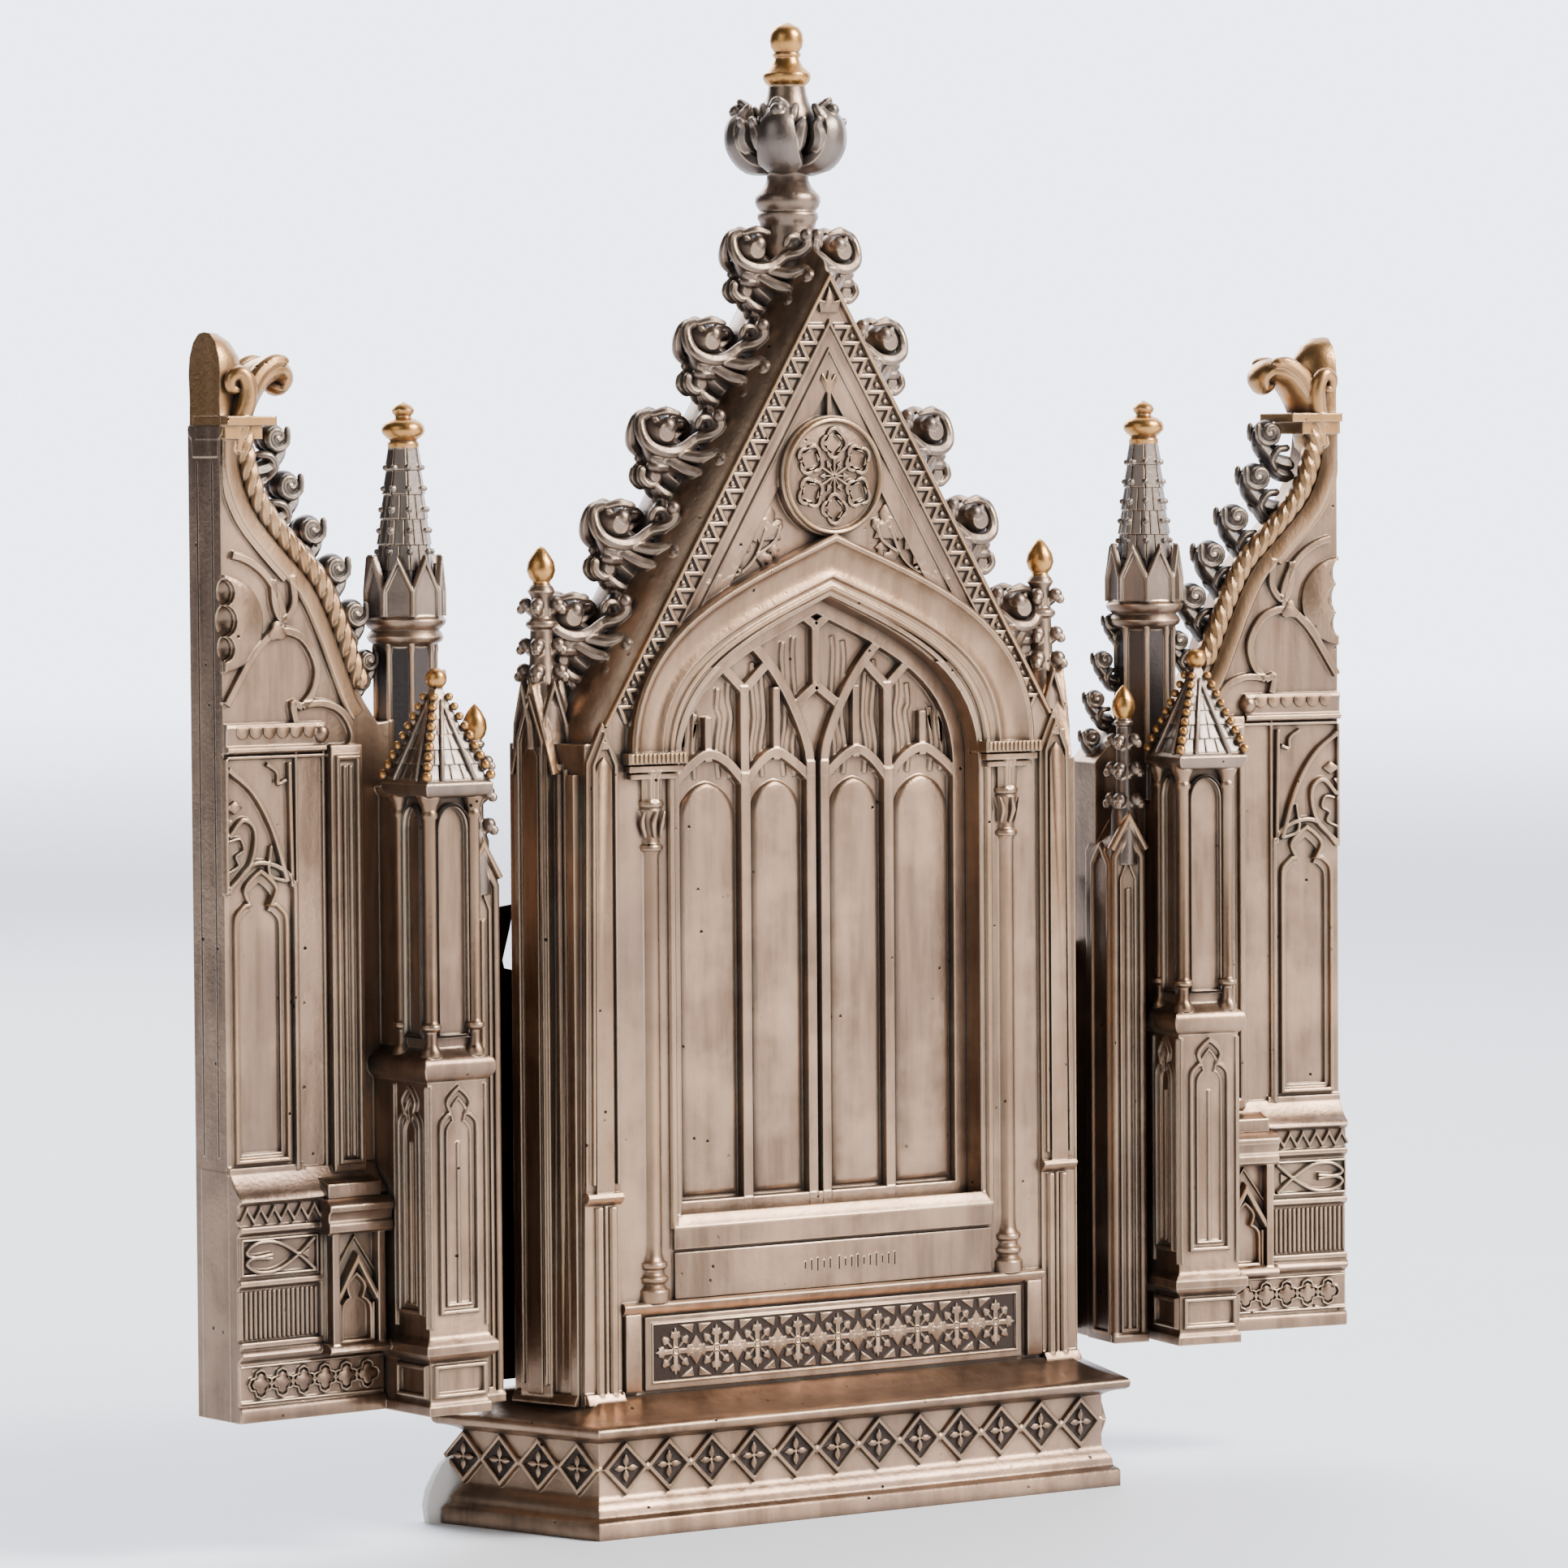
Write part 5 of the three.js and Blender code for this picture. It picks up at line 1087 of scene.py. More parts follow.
cap_half = carved(
    lathe([(4.4, 213), (4.7, 216.4), (6.0, 217.4), (6.2, 218.4), (5.4, 219.4), (5.3, 224), (5.6, 229),
           (5.2, 232.2), (3.9, 235), (2.0, 236.7), (0, 237)],
          (CLOSE, -6.3), 40, stretch=(1.4, 1.0)),
    [loft([[(x, -20, z), (x, 8, z), (x + 30, 8, z), (x + 30, -20, z)] for x,
           z in ((CLOSE - 0.09, 200), (CLOSE - 0.09, 245))])],
)
wing.add(cap_half, tone=0.55)
volute = shells(
    scroll([(63.6, 214), (62.4, 219.4), (60.2, 224.4), (56.8, 228.4), (53.0, 229.8), (50.9, 228.2),
            (51.6, 226.2), (53.4, 226.6)], (3.0, 3.0, 2.9, 2.7, 2.3, 1.7, 1.1), -7.6, 14, 5, 1.9),
    scroll([(63.0, 219.0), (61.4, 224.0), (59.0, 228.6), (55.4, 231.2), (52.6, 231.4)],
           (1.6, 1.7, 1.7, 1.5, 1.1), -12.0, 9, 4),
    scroll([(63.0, 219.0), (61.4, 224.0), (59.0, 228.6), (55.4, 231.2), (52.6, 231.4)],
           (1.6, 1.7, 1.7, 1.5, 1.1), -3.4, 9, 4),
    limb([(63.8, -11.6, 218.6), (62.0, -12.8, 222.6), (61.8, -13.4, 226.6), (63.4, -13.4, 229.0),
          (65.4, -13.0, 228.2), (65.4, -12.8, 226.2), (64.2, -13.0, 225.8)],
         (1.7, 1.9, 1.7, 1.4, 1.1, 0.8), 10, 4),
    loft([[(u, -v, z) for u, v in ((54.0, 2.2), (CLOSE - 0.12, 2.2), (CLOSE - 0.12, 14.4),
                                   (55.6, 13.8))] for z in (219.0, 220.8)]),
    loft([[(u, -v, z) for u, v in ((57.0, 3.0), (CLOSE - 0.15, 3.0), (CLOSE - 0.15, 13.4),
                                   (58.4, 13.0))] for z in (216.4, 219.2)]),
)
wing.add(volute, tone=0.6)
wing.add([Face((CLOSE, -v), (0, 1), (1, 0)).box(-0.2, 0.2, 78, 212, -0.01, -0.4) for v in (3.4, 8.6)],
         tone=-1.3)
print("wing wall done")

# %% [markdown]
# ### Turret
# The turret is a square buttress: a panelled pedestal, a shaft with one lancet on each face, a thick
# moulded cap, slim ringed colonnettes at the corners and a tiled pyramid roof with beaded hips.

# %% Wing turret
def tiles(centre, levels, sides, turn, count):
    """Courses of tiles on a tapering roof; each tile stands proud at its lower edge."""
    out = []
    for k, ((r0, z0), (r1, z1)) in enumerate(zip(levels, levels[1:])):
        n = max(1, count - k * count // len(levels))
        for s in range(sides):
            a, b = (turn + 2 * math.pi * (s + d) / sides for d in (0, 1))
            start, end = np.array([math.cos(a), math.sin(a)]), np.array([math.cos(b), math.sin(b)])
            shift = 0.5 * (k % 2) if n > 1 else 0.0
            for i in range(n + (1 if shift else 0)):
                t0, t1 = (min(1, max(0, (i - shift + d) / n)) for d in (0.05, 0.95))
                low, high = [], []
                for ring, r, z in ((low, r0, z0 + 0.05), (high, r1, z1)):
                    for t, proud in ((t0, 0.45), (t1, 0.45), (t1, -0.7), (t0, -0.7)):
                        spot = (r + proud - (0.3 if ring is high else 0)) * (start + (end - start) * t)
                        ring.append((centre[0] + spot[0], centre[1] + spot[1], z))
                out.append(loft([low, high]))
    return out


T_PLAN = [(19.4, -3), (19.4, -30.2), (33.2, -30.2), (33.2, -3)]
wing.add(stack(T_PLAN, [
    (27, 0.4), (28.8, 0.4), (29.2, 0), (29.8, -0.2), (37.2, -0.2), (37.8, 0.3), (38.4, 1.0), (39.0, 1.5),
    (40.6, 1.5), (41.2, 1.0), (41.8, 0.3), (42.6, 0),
    (91.8, 0), (92.4, 0.6), (93.0, 1.1), (94.0, 1.4), (95.2, 1.4), (96.0, 1.0), (96.6, 0.2), (97.2, -0.8),
    (98.2, -1.9), (146.8, -1.9), (147.6, -1.2), (148.4, -1.0),
]))
sides_of = [
    (Face((26.3, -30.2), (1, 0), (0, -1)), 13.8, 4.3),
    (Face((33.2, -24.4), (0, 1), (1, 0)), 11.6, 3.5),
    (Face((19.4, -24.4), (0, -1), (-1, 0)), 11.6, 3.5),
]
for side_face, width, half in sides_of:
    h = width / 2
    wing.add(side_face.bar([(-h + 1.2, 30.8), (h - 1.2, 30.8), (h - 1.2, 36.4), (-h + 1.2, 36.4)], 1.0, 0.75,
                           closed=True),
             side_face.bar(trefoil_door(half, 47.0, 82.0, 90.6), 1.0, 0.8, closed=True),
             side_face.bar(trefoil_door(half - 1.5, 48.4, 80.8, 88.6), 0.6, 0.45, closed=True),
             side_face.bead([(0, 48.6), (0, 80)], 0.45, 0.0),
             side_face.bar([(-h + 0.5, 44), (-h + 0.5, 91)], 0.7, 0.5),
             side_face.bar([(h - 0.5, 44), (h - 0.5, 91)], 0.7, 0.5))
    wing.add(side_face.bar(doorway(half - 0.5, 100.5, 140.5, 145.4, 0, 10), 0.6, -1.4, closed=True,
                           root=-2.4))
colonnette = lathe([(1.9, 96.6), (2.0, 97.6), (1.5, 98.4), (1.15, 99.2), (1.1, 101.4), (1.6, 101.8),
                    (2.0, 102.2), (2.0, 102.8), (1.5, 103.2), (1.35, 103.8), (1.3, 120),
                    (1.3, 142.6), (1.7, 143.2), (1.7, 143.8), (1.4, 144.4), (1.7, 145.4), (2.2, 146.4),
                    (2.4, 147.2), (2.4, 148.2)], (0, 0), 16)
for u, v in ((21.2, 29.0), (31.4, 29.0), (31.4, 19.4), (21.0, 19.4)):
    wing.add(moved([colonnette], (u, -v, 0)), tone=0.08)

ROOF, HALF = (26.6, -24.8), 7.3
wing.add(lathe([(r * 2 ** 0.5, z) for r, z in [(HALF - 0.9, 146.9), (HALF + 0.1, 147.6), (HALF + 0.5, 148.6),
                                               (HALF + 0.5, 149.6), (HALF, 150.2), (HALF - 0.6, 150.6),
                                               (0.6, 168.6)]],
               ROOF, 4, math.pi / 4), tone=-0.3)
steps = [(2 ** 0.5 * (HALF - 0.5 - 6.3 * k / 6), 150.4 + 17.4 * k / 6) for k in range(7)]
wing.add(tiles(ROOF, steps, 4, math.pi / 4, 5), tone=-0.5)
hip_bead = ball((0, 0, 0), 0.92, 10, 6)
places, sizes = [], []
for k in range(4):
    a = math.pi / 4 + math.pi / 2 * k
    for t in ((i + 0.2) / 9 for i in range(9)):
        r = 2 ** 0.5 * (HALF + 0.3 - 6.4 * t)
        places.append((ROOF[0] + r * math.cos(a), ROOF[1] + r * math.sin(a), 150.8 + 17.0 * t))
        sizes.append(1.1 - 0.2 * t)
    # the raised rafters that frame each face
    for wide in (-0.52, 0.52):
        b = a + math.pi / 4
        foot = np.array([ROOF[0] + HALF * math.cos(b) - wide * HALF * math.sin(b),
                         ROOF[1] + HALF * math.sin(b) + wide * HALF * math.cos(b), 150.6])
        head = np.array([ROOF[0] + 1.7 * math.cos(b), ROOF[1] + 1.7 * math.sin(b), 165.4])
        wing.add(limb([foot, (foot + head) / 2, head], (0.5, 0.5, 0.45), 6, 1), tone=-0.4)
wing.add(row(hip_bead, places, 0.0, sizes), tone=0.85)
wing.add(ball((*ROOF, 169.8), 2.1, 20, 12), tone=1.0)
print("turret done")

# %% Wing tower
TOWER = (22.8, -8.8)
# the tower's shaft takes the darkest pewter tone, painted shade for the shadow it stands in
wing.add(lathe([(5.9, 140), (5.9, 176.0)], TOWER, 8, math.pi / 8), tone=-0.9)
wing.add(lathe([(5.0, 175.4), (6.4, 176.2), (7.3, 176.8), (7.6, 177.6), (7.2, 178.4), (6.7, 178.9),
                (7.4, 179.5), (8.0, 180.2), (8.1, 180.9), (7.6, 181.5), (6.8, 181.9)],
               TOWER, 36), tone=-0.1)
flute = [lathe([(0.5, 148), (0.5, 174), (0.7, 175.2), (0.5, 176.4)], (6.0, 0), 8)]
wing.add(row(flute, [(*TOWER, 0)] * 8, [math.pi / 8 + math.pi / 4 * k for k in range(8)]), tone=-0.1)
# the drum behind the gablets takes the same darkest tone
wing.add(lathe([(7.2, 181.0), (7.5, 182.4), (7.4, 186.4), (6.2, 189.0), (5.5, 191.6)], TOWER, 8,
               math.pi / 8), tone=-0.9)
gablet = Face((0, -7.0), (1, 0), (0, -1))
crown = shells(gablet.bar([(-2.9, 181.6), (-2.9, 186.4), (0, 192.6), (2.9, 186.4), (2.9, 181.6)], 0.95, 0.7),
               gablet.plate([(-2.9, 181.6), (2.9, 181.6), (2.9, 186.6), (0, 192.0), (-2.9, 186.6)], 0.1,
                            -1.2))
wing.add(row(crown, [(*TOWER, 0)] * 8, [math.pi / 4 * k for k in range(8)]), tone=-0.35)
spire = [(5.5, 190.6), (5.1, 195.6), (4.5, 200.6), (3.95, 205.4), (3.4, 210.2), (2.9, 214.8)]
wing.add(lathe([(r - 0.25, z) for r, z in spire], TOWER, 8, math.pi / 8), tone=-0.5)
wing.add(tiles(TOWER, [(r, z) for r, z in spire], 8, math.pi / 8, 2), tone=-0.5)
crest = shells(ball((0, 0, 0), 0.6, 8, 5))
places = []
for k in range(8):
    a = math.pi / 8 + math.pi / 4 * k
    for t in (0.1, 0.28, 0.46, 0.64, 0.82):
        r = 5.8 - 2.6 * t
        places.append((TOWER[0] + r * math.cos(a), TOWER[1] + r * math.sin(a), 192.0 + 22.8 * t))
wing.add(row(crest, places), tone=-0.5)
wing.add(lathe([(2.7, 214.2), (3.1, 214.8), (3.1, 215.6), (2.6, 216.0), (3.4, 216.6), (4.15, 217.4),
                (4.3, 218.2), (4.0, 219.1), (3.0, 219.9), (1.7, 220.4), (1.6, 220.8),
                (2.1, 221.4), (2.25, 222.0), (1.8, 222.7), (0.9, 223.2), (0, 223.7)], TOWER, 24), tone=1.0)
print("tower done")

# %% [markdown]
# ### Hinge-side pilaster
# Beside the hinge a slim pilaster ends in a gablet and a pinnacle with tiers of little curls. It sits
# just outside the dark leaf of the hinge.

# %% Wing pilaster
strip = wing_face(20.4)
wing.add(strip.plate([(8.9, 27), (16.9, 27), (16.9, 129.6), (12.9, 136.0), (8.9, 129.6)], -0.5, -12))
wing.add(strip.bar([(9.7, 28), (9.7, 128.6), (12.9, 134.0), (16.1, 128.6), (16.1, 28)], 1.3, 0.3),
         strip.bar([(11.2, 29.6), (11.2, 124), (12.9, 128), (14.6, 124), (14.6, 29.6)], 0.6, 0.0,
                   closed=True), strip.bead([(12.9, 30), (12.9, 122)], 0.7, -0.5))
wing.add(strip.mould([(8.9, 28), (16.9, 28)], [(-1.0, -0.9), (1.2, -0.9), (1.2, 0.1), (0.5, 0.7),
                                               (-1.0, 0.7)]))
wing.add(strip.bar([(8.9, 130.2), (12.9, 137.0), (16.9, 130.2)], 1.4, 0.8), tone=0.15)
for u, way in ((8.9, -1), (16.9, 1)):
    side_face = Face((u, -15.4), (0, way), (way, 0))
    wing.add(side_face.bar([(-3.6, 29), (-3.6, 127), (0, 131), (3.6, 127), (3.6, 29)], 0.8, 0.5, closed=True))
P_AT = (13.0, -18.2)
wing.add(lathe([(2.8, 127), (2.7, 137.4), (2.1, 139.4), (1.7, 142), (1.5, 155.6), (2.0, 156.2), (2.0, 156.8),
                (1.3, 157.4)], P_AT, 14), tone=-0.4)
places, turns, sizes = [], [], []
for z, r, size in ((140.6, 2.6, 1.15), (147.0, 2.5, 1.1), (153.0, 2.4, 1.0)):
    for k in range(4):
        a = math.pi / 4 + math.pi / 2 * k
        places.append((P_AT[0] + r * math.cos(a), P_AT[1] + r * math.sin(a), z))
        turns.append(a)
        sizes.append(size)
wing.add(row(knobs, places, turns, sizes), tone=-0.35)
wing.add(lathe([(1.3, 157.2), (2.1, 158.2), (2.5, 159.6), (2.3, 161.2), (1.5, 162.8), (0.7, 163.8),
                (0.1, 164.4)], P_AT, 16), tone=1.0)
print("wing done")

# %% [markdown]
# ## Painted fold
# At the front left corner the edge of the painted scene shows: a small fold of white drapery. It is
# a wavy loft that narrows as it rises.

# %% Drapery
drapery = Casting()
wave = [(-79, 28), (-78.8, 30.2), (-77.6, 32.4), (-75.6, 33.0), (-74.2, 31.8), (-73.0, 31.2), (-71.8, 32.4),
        (-70.2, 33.2), (-68.8, 32.0), (-67.6, 30.8), (-66.2, 31.9),
        (-64.6, 31.6), (-63.6, 29.4), (-66, 27.7), (-74, 27.7)]
drapery.add(loft([[(-71 + (x + 71) * k + 0.11 * z, 27.7 + (y - 27.7) * k, z) for x, y in wave]
                  for z, k in ((0, 0.98), (0.6, 1.0), (3.0, 1.07), (6.2, 1.04), (9.2, 0.9), (11.6, 0.76),
                               (13.0, 0.6), (13.4, 0.5))]))

# %% [markdown]
# ## Patina
# One shader tree serves all the bronze. Brown metal is varied by upright streaks and blotches; a short
# ambient-occlusion reading finds the hollows, which are painted dark as shade together with grime, and
# where a little green verdigris collects. A bevel node softens every arris, and where its normal leaves
# the true one the edge is painted bright: rubbed by handling, and a painted highlight as well. The tone
# attribute turns whole shells towards gold, pewter or near-black; the darkest tones also stand as
# painted shade on the tower's shaft, in sunk grounds and along the zigzag.

# %% Shader kit
class Wire:
    """A shader socket that can be added and multiplied like a number."""

    def __init__(self, kit, socket):
        self.kit, self.socket = kit, socket

    def _math(self, operation, *others):
        return self.kit.node("ShaderNodeMath", {"operation": operation},
                             {k: v for k, v in enumerate((self, *others))})

    def __add__(self, other):
        return self._math("ADD", other)

    def __mul__(self, other):
        return self._math("MULTIPLY", other)

    def __sub__(self, other):
        return self._math("SUBTRACT", other)

    def __rsub__(self, other):
        return self * -1.0 + other

    def __pow__(self, other):
        return self._math("POWER", other)

    __radd__, __rmul__ = __add__, __mul__

    def least(self, other):
        return self._math("MINIMUM", other)

    def most(self, other):
        return self._math("MAXIMUM", other)

    def spread(self, low, high, to_low=0.0, to_high=1.0):
        """The part of the range from low to high, as a smooth step."""
        return self.kit.node("ShaderNodeMapRange", {"interpolation_type": "SMOOTHSTEP"},
                             {"Value": self, "From Min": low, "From Max": high, "To Min": to_low,
                              "To Max": to_high}, "Result")


class Shader:
    def __init__(self, name, world=None):
        self.material = world or bpy.data.materials.new(name)
        self.material.use_nodes = True
        self.tree = self.material.node_tree
        self.surface = self.tree.nodes["Background" if world else "Principled BSDF"]

    def node(self, kind, settings=None, sockets=None, out=0):
        made = self.tree.nodes.new(kind)
        for key, value in (settings or {}).items():
            setattr(made, key, value)
        for key, value in (sockets or {}).items():
            self.feed(made.inputs[key], value)
        return Wire(self, made.outputs[out])

    def feed(self, socket, value):
        if isinstance(value, Wire):
            self.tree.links.new(value.socket, socket)
        else:
            socket.default_value = value

    def mix(self, share, low, high, blend="MIX"):
        """A mix of two colours."""
        made = self.tree.nodes.new("ShaderNodeMix")
        made.data_type, made.blend_type = "RGBA", blend
        self.feed(made.inputs[0], share)
        for socket, value in ((made.inputs[6], low), (made.inputs[7], high)):
            self.feed(socket, value if isinstance(value, Wire) else (*value, 1.0))
        return Wire(self, made.outputs[2])

    def place(self, scale=(1, 1, 1)):
        spot = self.node("ShaderNodeTexCoord", out="Object")
        return self.node("ShaderNodeVectorMath", {"operation": "MULTIPLY"}, {0: spot, 1: scale}, "Vector")

    def noise(self, where, scale, detail=4.0, rough=0.55):
        return self.node("ShaderNodeTexNoise", None, {"Vector": where, "Scale": scale, "Detail": detail,
                                                      "Roughness": rough}, "Fac")

    def set(self, **values):
        for name, value in values.items():
            self.feed(self.surface.inputs[name.replace("_", " ")], value)


print("shader kit ready")

# %% Bronze
bronze = Shader("bronze_patina")
here = bronze.place()
streaks = bronze.noise(bronze.place((1, 1, 0.10)), 260, 4, 0.6)
blotch = bronze.noise(here, 38, 4, 0.6)
cloud = bronze.noise(bronze.place((1, 1, 0.5)), 22, 3, 0.5)
grit = bronze.noise(here, 900, 3, 0.6)
tone = bronze.node("ShaderNodeAttribute", {"attribute_name": "tone"}, None, "Fac")
hollow = 1 - bronze.node("ShaderNodeAmbientOcclusion", {"samples": 5}, {"Distance": 0.0027}, "AO")
soft_edge = bronze.node("ShaderNodeBevel", {"samples": 4}, {"Radius": 0.0005}, "Normal")
crisp = bronze.node("ShaderNodeNewGeometry", out="Normal")
arris = 1 - bronze.node("ShaderNodeVectorMath", {"operation": "DOT_PRODUCT"}, {0: soft_edge, 1: crisp},
                        "Value")
pits = bronze.node("ShaderNodeTexVoronoi", {"feature": "F1"},
                   {"Vector": here, "Scale": 240.0, "Randomness": 1.0}, "Distance")
pit = pits.spread(0.055, 0.11, 1.0, 0.0) * bronze.noise(here, 90, 1).spread(0.50, 0.62)

gold_share = tone.most(0.0).least(1.0)
pewter_share = (tone * -1.0).most(0.0)
# tones below about -1 go near-black: dark marks, and painted shade in sunk grounds and along the zigzag
dark_marks_and_shade = tone.spread(-1.25, -0.95, 1.0, 0.0)
# edges painted bright gold: handling wear, and a painted highlight along each arris
rubbed_edge_and_highlight = (arris.spread(0.015, 0.12) * (0.35 + blotch * 1.0) * (1 - hollow.spread(0.15, 0.45))).least(0.8)
# hollows painted dark: painted shade, together with the grime a casting keeps there
hollow_shade_and_grime = hollow.spread(0.20, 0.62)

brown = bronze.mix(streaks.spread(0.25, 0.75), (0.148, 0.093, 0.060), (0.285, 0.187, 0.124))
brown = bronze.mix(blotch.spread(0.44, 0.66) * 0.55, brown, (0.44, 0.29, 0.19))
brown = bronze.mix(cloud.spread(0.50, 0.72) * 0.55, brown, (0.115, 0.080, 0.068))
metal = bronze.mix(pewter_share.spread(0.0, 0.6) * 0.85, brown, (0.150, 0.132, 0.120))
# below tone -0.6 the pewter turns near-black: dark pewter on the curls and stems, and painted shade on the
# tower's shaft
metal = bronze.mix(pewter_share.spread(0.6, 0.92) * 0.9, metal, (0.045, 0.038, 0.036))
metal = bronze.mix(gold_share * 0.9, metal, (0.52, 0.26, 0.075))
# rubbed edges and the painted edge highlight lighten the metal
metal = bronze.mix(rubbed_edge_and_highlight * (1 - gold_share * 0.5), metal, (0.82, 0.60, 0.40))
verdigris = (hollow.spread(0.22, 0.5) * bronze.noise(here, 70, 2).spread(0.54, 0.68) * 0.30)
metal = bronze.mix(verdigris, metal, (0.50, 0.58, 0.44))
# painted shade and grime take the hollows towards near-black
metal = bronze.mix(hollow_shade_and_grime * 0.9, metal, (0.022, 0.015, 0.012))
# near-black for dark marks and for painted shade
metal = bronze.mix(dark_marks_and_shade, metal, (0.035, 0.024, 0.019))
metal = bronze.mix(pit, metal, (0.008, 0.006, 0.005))
bump = bronze.node("ShaderNodeBump", None, {"Strength": 0.35, "Distance": 0.0004,
                                            "Height": grit * 0.5 + streaks * 0.3 - pit, "Normal": soft_edge},
                   "Normal")
bronze.set(Base_Color=metal, Metallic=0.94 - hollow_shade_and_grime * 0.6, Normal=bump,
           Roughness=((0.27 + streaks * 0.14 - gold_share * 0.06) - rubbed_edge_and_highlight * 0.06 + hollow_shade_and_grime * 0.3).most(0.18))
print("bronze nodes", len(bronze.tree.nodes))

# %% [markdown]
# ## Hinge strip and paint
# The hinges are dark lacquered metal with an amber glow where it has worn thin; their edges are painted
# light amber as a highlight, and their hollows near-black as painted shade. The fold is matt ivory paint
# with grey painted into its hollows as shade.

# %% Dark bronze and paint
dark = Shader("dark_hinge_bronze")
spot = dark.place((1, 1, 0.3))
thin = dark.noise(spot, 320, 4, 0.6)
dark_hollow = 1 - dark.node("ShaderNodeAmbientOcclusion", {"samples": 6}, {"Distance": 0.002}, "AO")
lacquer = dark.mix(thin.spread(0.45, 0.85), (0.03, 0.021, 0.016), (0.105, 0.062, 0.032))
dark_arris = 1 - dark.node("ShaderNodeVectorMath", {"operation": "DOT_PRODUCT"}, {
    0: dark.node("ShaderNodeBevel", {"samples": 4}, {"Radius": 0.0004}, "Normal"),
    1: dark.node("ShaderNodeNewGeometry", out="Normal")}, "Value")
# edges painted light amber: a painted highlight
lacquer = dark.mix(dark_arris.spread(0.03, 0.2) * 0.5, lacquer, (0.46, 0.30, 0.16))
# hollows painted near-black: painted shade
lacquer = dark.mix(dark_hollow.spread(0.3, 0.8), lacquer, (0.006, 0.005, 0.004))
dark_bump = dark.node("ShaderNodeBump", None, {"Strength": 0.3, "Distance": 0.0004,
                                               "Height": dark.noise(spot, 600, 3)}, "Normal")
dark.set(Base_Color=lacquer, Metallic=0.85, Roughness=thin * 0.2 + 0.20, Normal=dark_bump)

white = Shader("ivory_paint")
paint_hollow = 1 - white.node("ShaderNodeAmbientOcclusion", {"samples": 6}, {"Distance": 0.004}, "AO")
paint = white.mix(white.noise(white.place(), 120, 3).spread(0.3, 0.7), (0.80, 0.77, 0.71), (0.88, 0.86, 0.81))
# grey painted into the hollows of the fold: painted shade
paint = white.mix(paint_hollow.spread(0.3, 0.9) * 0.5, paint, (0.42, 0.36, 0.30))
white.set(Base_Color=paint, Metallic=0.0, Roughness=0.55, Normal=white.node(
    "ShaderNodeBump", None, {"Strength": 0.25, "Distance": 0.0003,
                             "Height": white.noise(white.place(), 700, 3)}, "Normal"))
print("materials", dark.material.name, white.material.name)

# %% [markdown]
# ## Setting the castings in the frame
# The shrine's casting is already in the drawing frame. A wing is turned by its resting swing, carried
# to its hinge and, for the left side, mirrored. Each piece then rides on its body and stands for the
# plain solid of the same part.

# %% Objects
def dress(piece, material, body, slot, *nodes):
    piece.data.materials.append(material)
    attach(piece, body)
    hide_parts(*nodes)


def on_hinge(side):
    c, s = math.cos(-SWING[side]), math.sin(-SWING[side])
    sign = 1 if side == "right" else -1

    def place(p):
        return np.c_[sign * (p[:, 0] * c - p[:, 1] * s + HINGE_X), p[:, 0] * s + p[:, 1] * c + HINGE_Y,
                     p[:, 2]]
    return place


shrine.parts += foliage.parts
dress(shrine.object("shrine_casting"), bronze.material, "shrine", "bronze", "centre_shrine")
for side in ("left", "right"):
    casting = wing.object(f"{side}_wing_casting", on_hinge(side), flip=side == "left")
    dress(casting, bronze.material, f"{side}_wing_body", "bronze", f"{side}_wing")
dress(drapery.object("drapery_paint"), white.material, "shrine", "white_paint", "drapery_fold")
for side in ("left", "right"):
    for part in ("hinge_fixed_leaf", "hinge_wing_leaf", "hinge_pin"):
        node = bpy.data.objects[f"{side}_{part}"]
        for slot in node.material_slots:
            slot.material = dark.material
print("hinges finished in", dark.material.name)

# %% [markdown]
# ## Camera, floor and light
# A long lens looks slightly down at the back of the shrine, from a little to its left. A large soft
# light stands high on the right, a weaker one fills from the left and a third stands behind. Towards
# the carved back the room is a pale panel between two dark flags, and beyond the bronze it is a cool
# pale wall.

# %% Camera
scene = bpy.context.scene
lens = bpy.data.cameras.new("view")
lens.lens, lens.sensor_width, lens.clip_end = 156.99, 36.0, 200.0
camera = bpy.data.objects.new("view", lens)
yaw, down, roll = math.radians(33.10), math.radians(2.71), math.radians(-0.403)
ahead_dir = Vector((math.sin(yaw) * math.cos(down), math.cos(yaw) * math.cos(down), -math.sin(down)))
level = Vector((math.cos(yaw), -math.sin(yaw), 0))
upright = level.cross(ahead_dir)
right_dir = math.cos(roll) * level + math.sin(roll) * upright
up_dir = -math.sin(roll) * level + math.cos(roll) * upright
camera.matrix_world = Matrix((right_dir, up_dir, -ahead_dir)).transposed().to_4x4()
camera.location = Vector((-759.5, -1147.8, 211.6)) * MM + Vector(SHIFT) * MM
bpy.context.collection.objects.link(camera)
scene.camera = camera

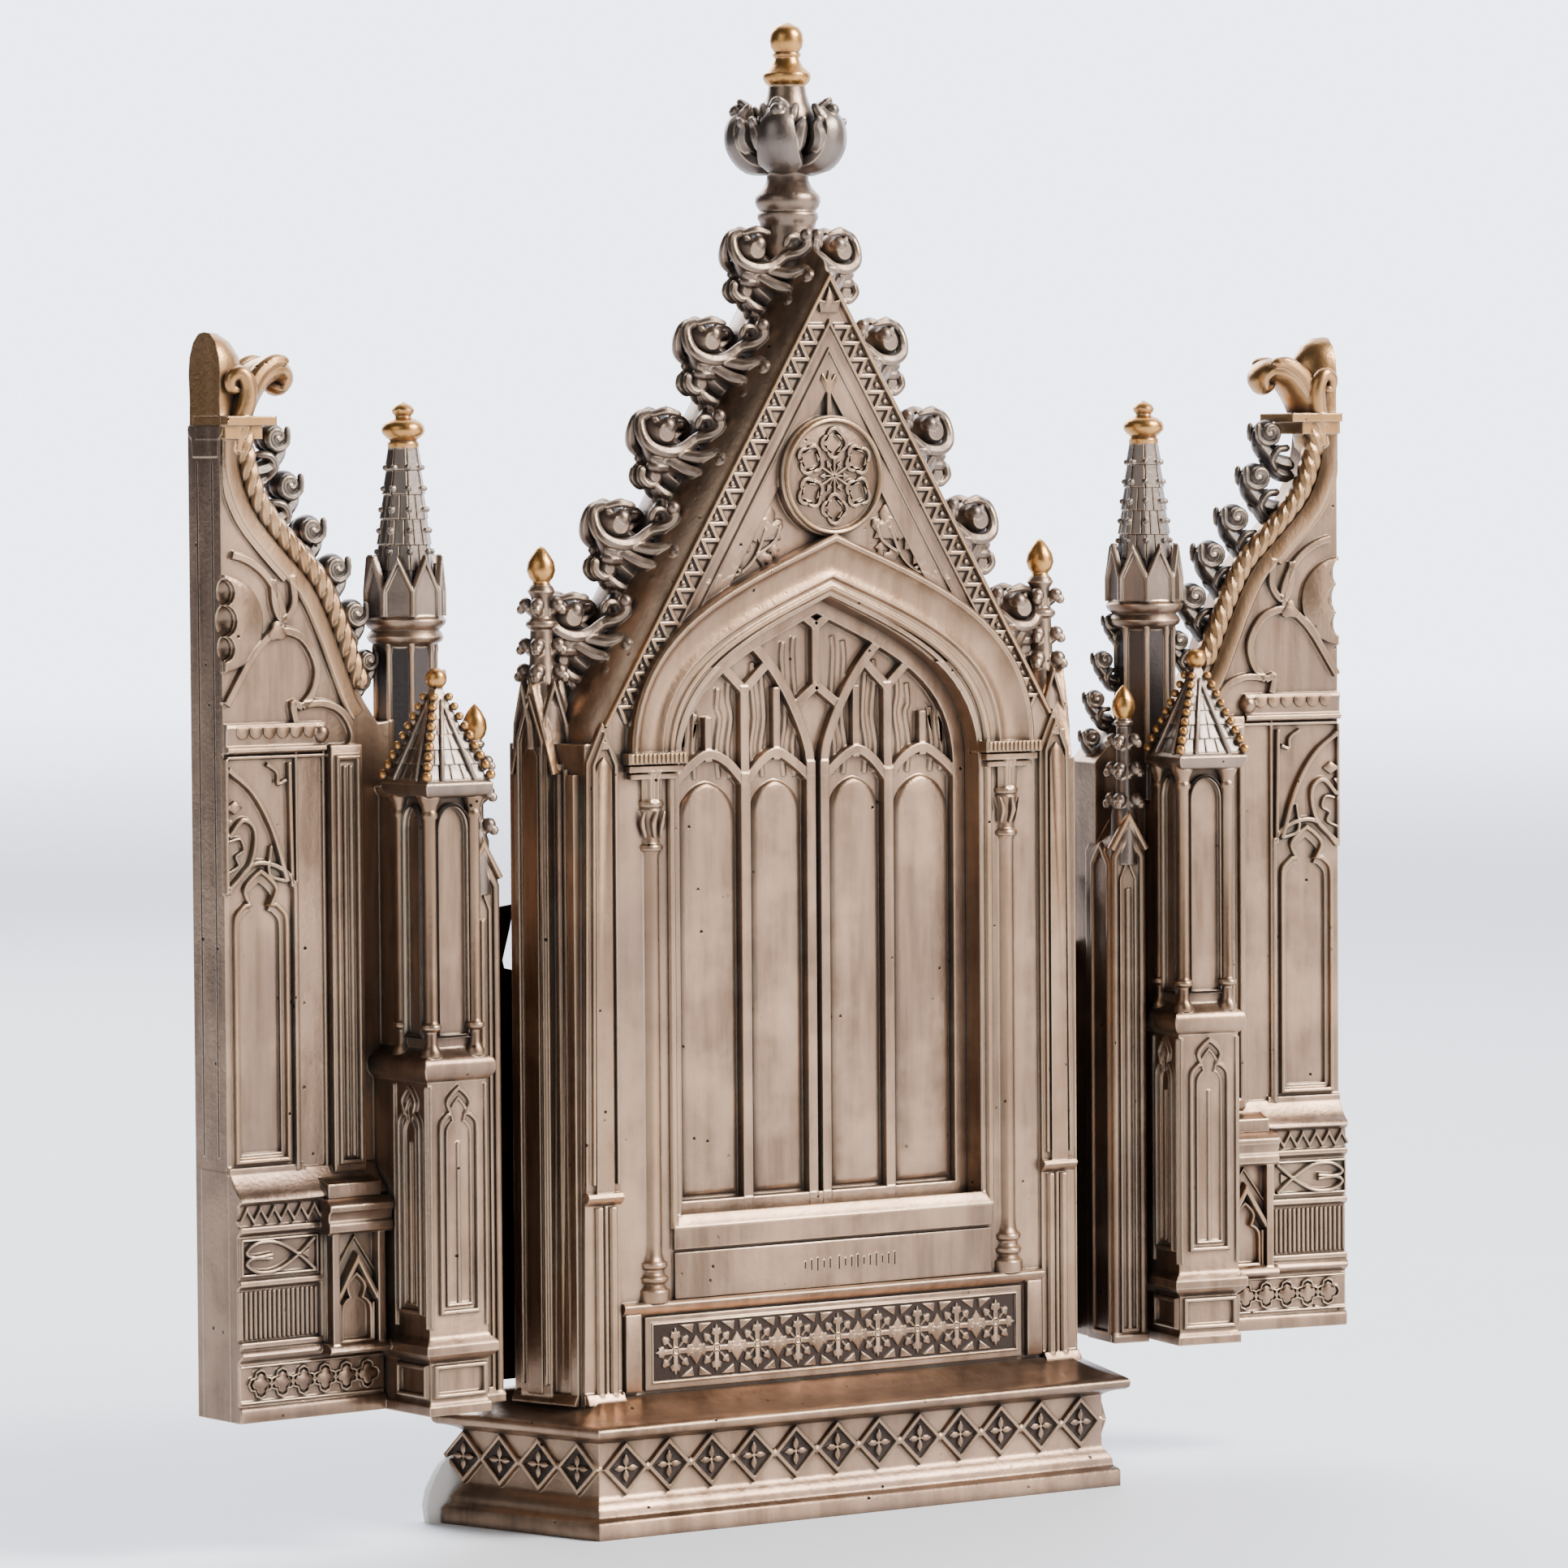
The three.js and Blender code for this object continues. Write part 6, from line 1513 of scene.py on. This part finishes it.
# %% Floor and lights
floor_mesh = bpy.data.meshes.new("floor")
floor_mesh.from_pydata([(-60, -60, 0), (60, -60, 0), (60, 60, 0), (-60, 60, 0)], [], [(0, 1, 2, 3)])
floor = bpy.data.objects.new("floor", floor_mesh)
bpy.context.collection.objects.link(floor)
cloth = Shader("pale_floor")
far = cloth.node("ShaderNodeVectorMath", {"operation": "LENGTH"}, {0: cloth.place()}, "Value")
cloth.set(Alpha=far.spread(1.2, 5.0, 1.0, 0.0), Base_Color=cloth.mix(cloth.noise(cloth.place(), 6, 2),
        (0.78, 0.81, 0.86), (0.82, 0.85, 0.90)), Roughness=0.6)
floor_mesh.materials.append(cloth.material)

world = bpy.data.worlds.new("studio")
room = Shader("room", world)
looking = room.node("ShaderNodeTexCoord", out="Generated")
across, along, rise = (room.node("ShaderNodeSeparateXYZ", None, {"Vector": looking}, way) for way in ("X",
        "Y", "Z"))
behind = along.spread(0.0, 0.25)
panel = across.spread(-0.08, 0.42) * (1 - across.spread(0.58, 0.84) * 0.8) * (1 - rise.spread(0.25,
        0.85) * 0.75)
ahead = room.mix(panel, (0.010, 0.010, 0.011), (0.90, 0.875, 0.89))
far_wall = room.mix(across.spread(-0.30, 0.30), (0.016, 0.016, 0.018), (0.85, 0.90, 1.04))
room.set(Color=room.mix(behind, ahead, far_wall), Strength=4.5)
scene.world = world


def softbox(name, place, target, size, power, colour=(1, 1, 1)):
    lamp = bpy.data.lights.new(name, "AREA")
    lamp.shape, lamp.size, lamp.energy, lamp.color = "SQUARE", size, power, colour
    holder = bpy.data.objects.new(name, lamp)
    holder.location = place
    holder.rotation_euler = (Vector(place) - Vector(target)).to_track_quat("Z", "Y").to_euler()
    bpy.context.collection.objects.link(holder)


softbox("key", (0.9, -1.1, 1.3), (0, 0, 0.15), 0.7, 75, (1, 0.97, 0.93))
softbox("fill", (-1.4, -0.5, 0.7), (0, 0, 0.12), 1.0, 5, (0.93, 0.97, 1))
softbox("back", (0.2, 1.4, 1.0), (0, 0, 0.15), 1.0, 24)
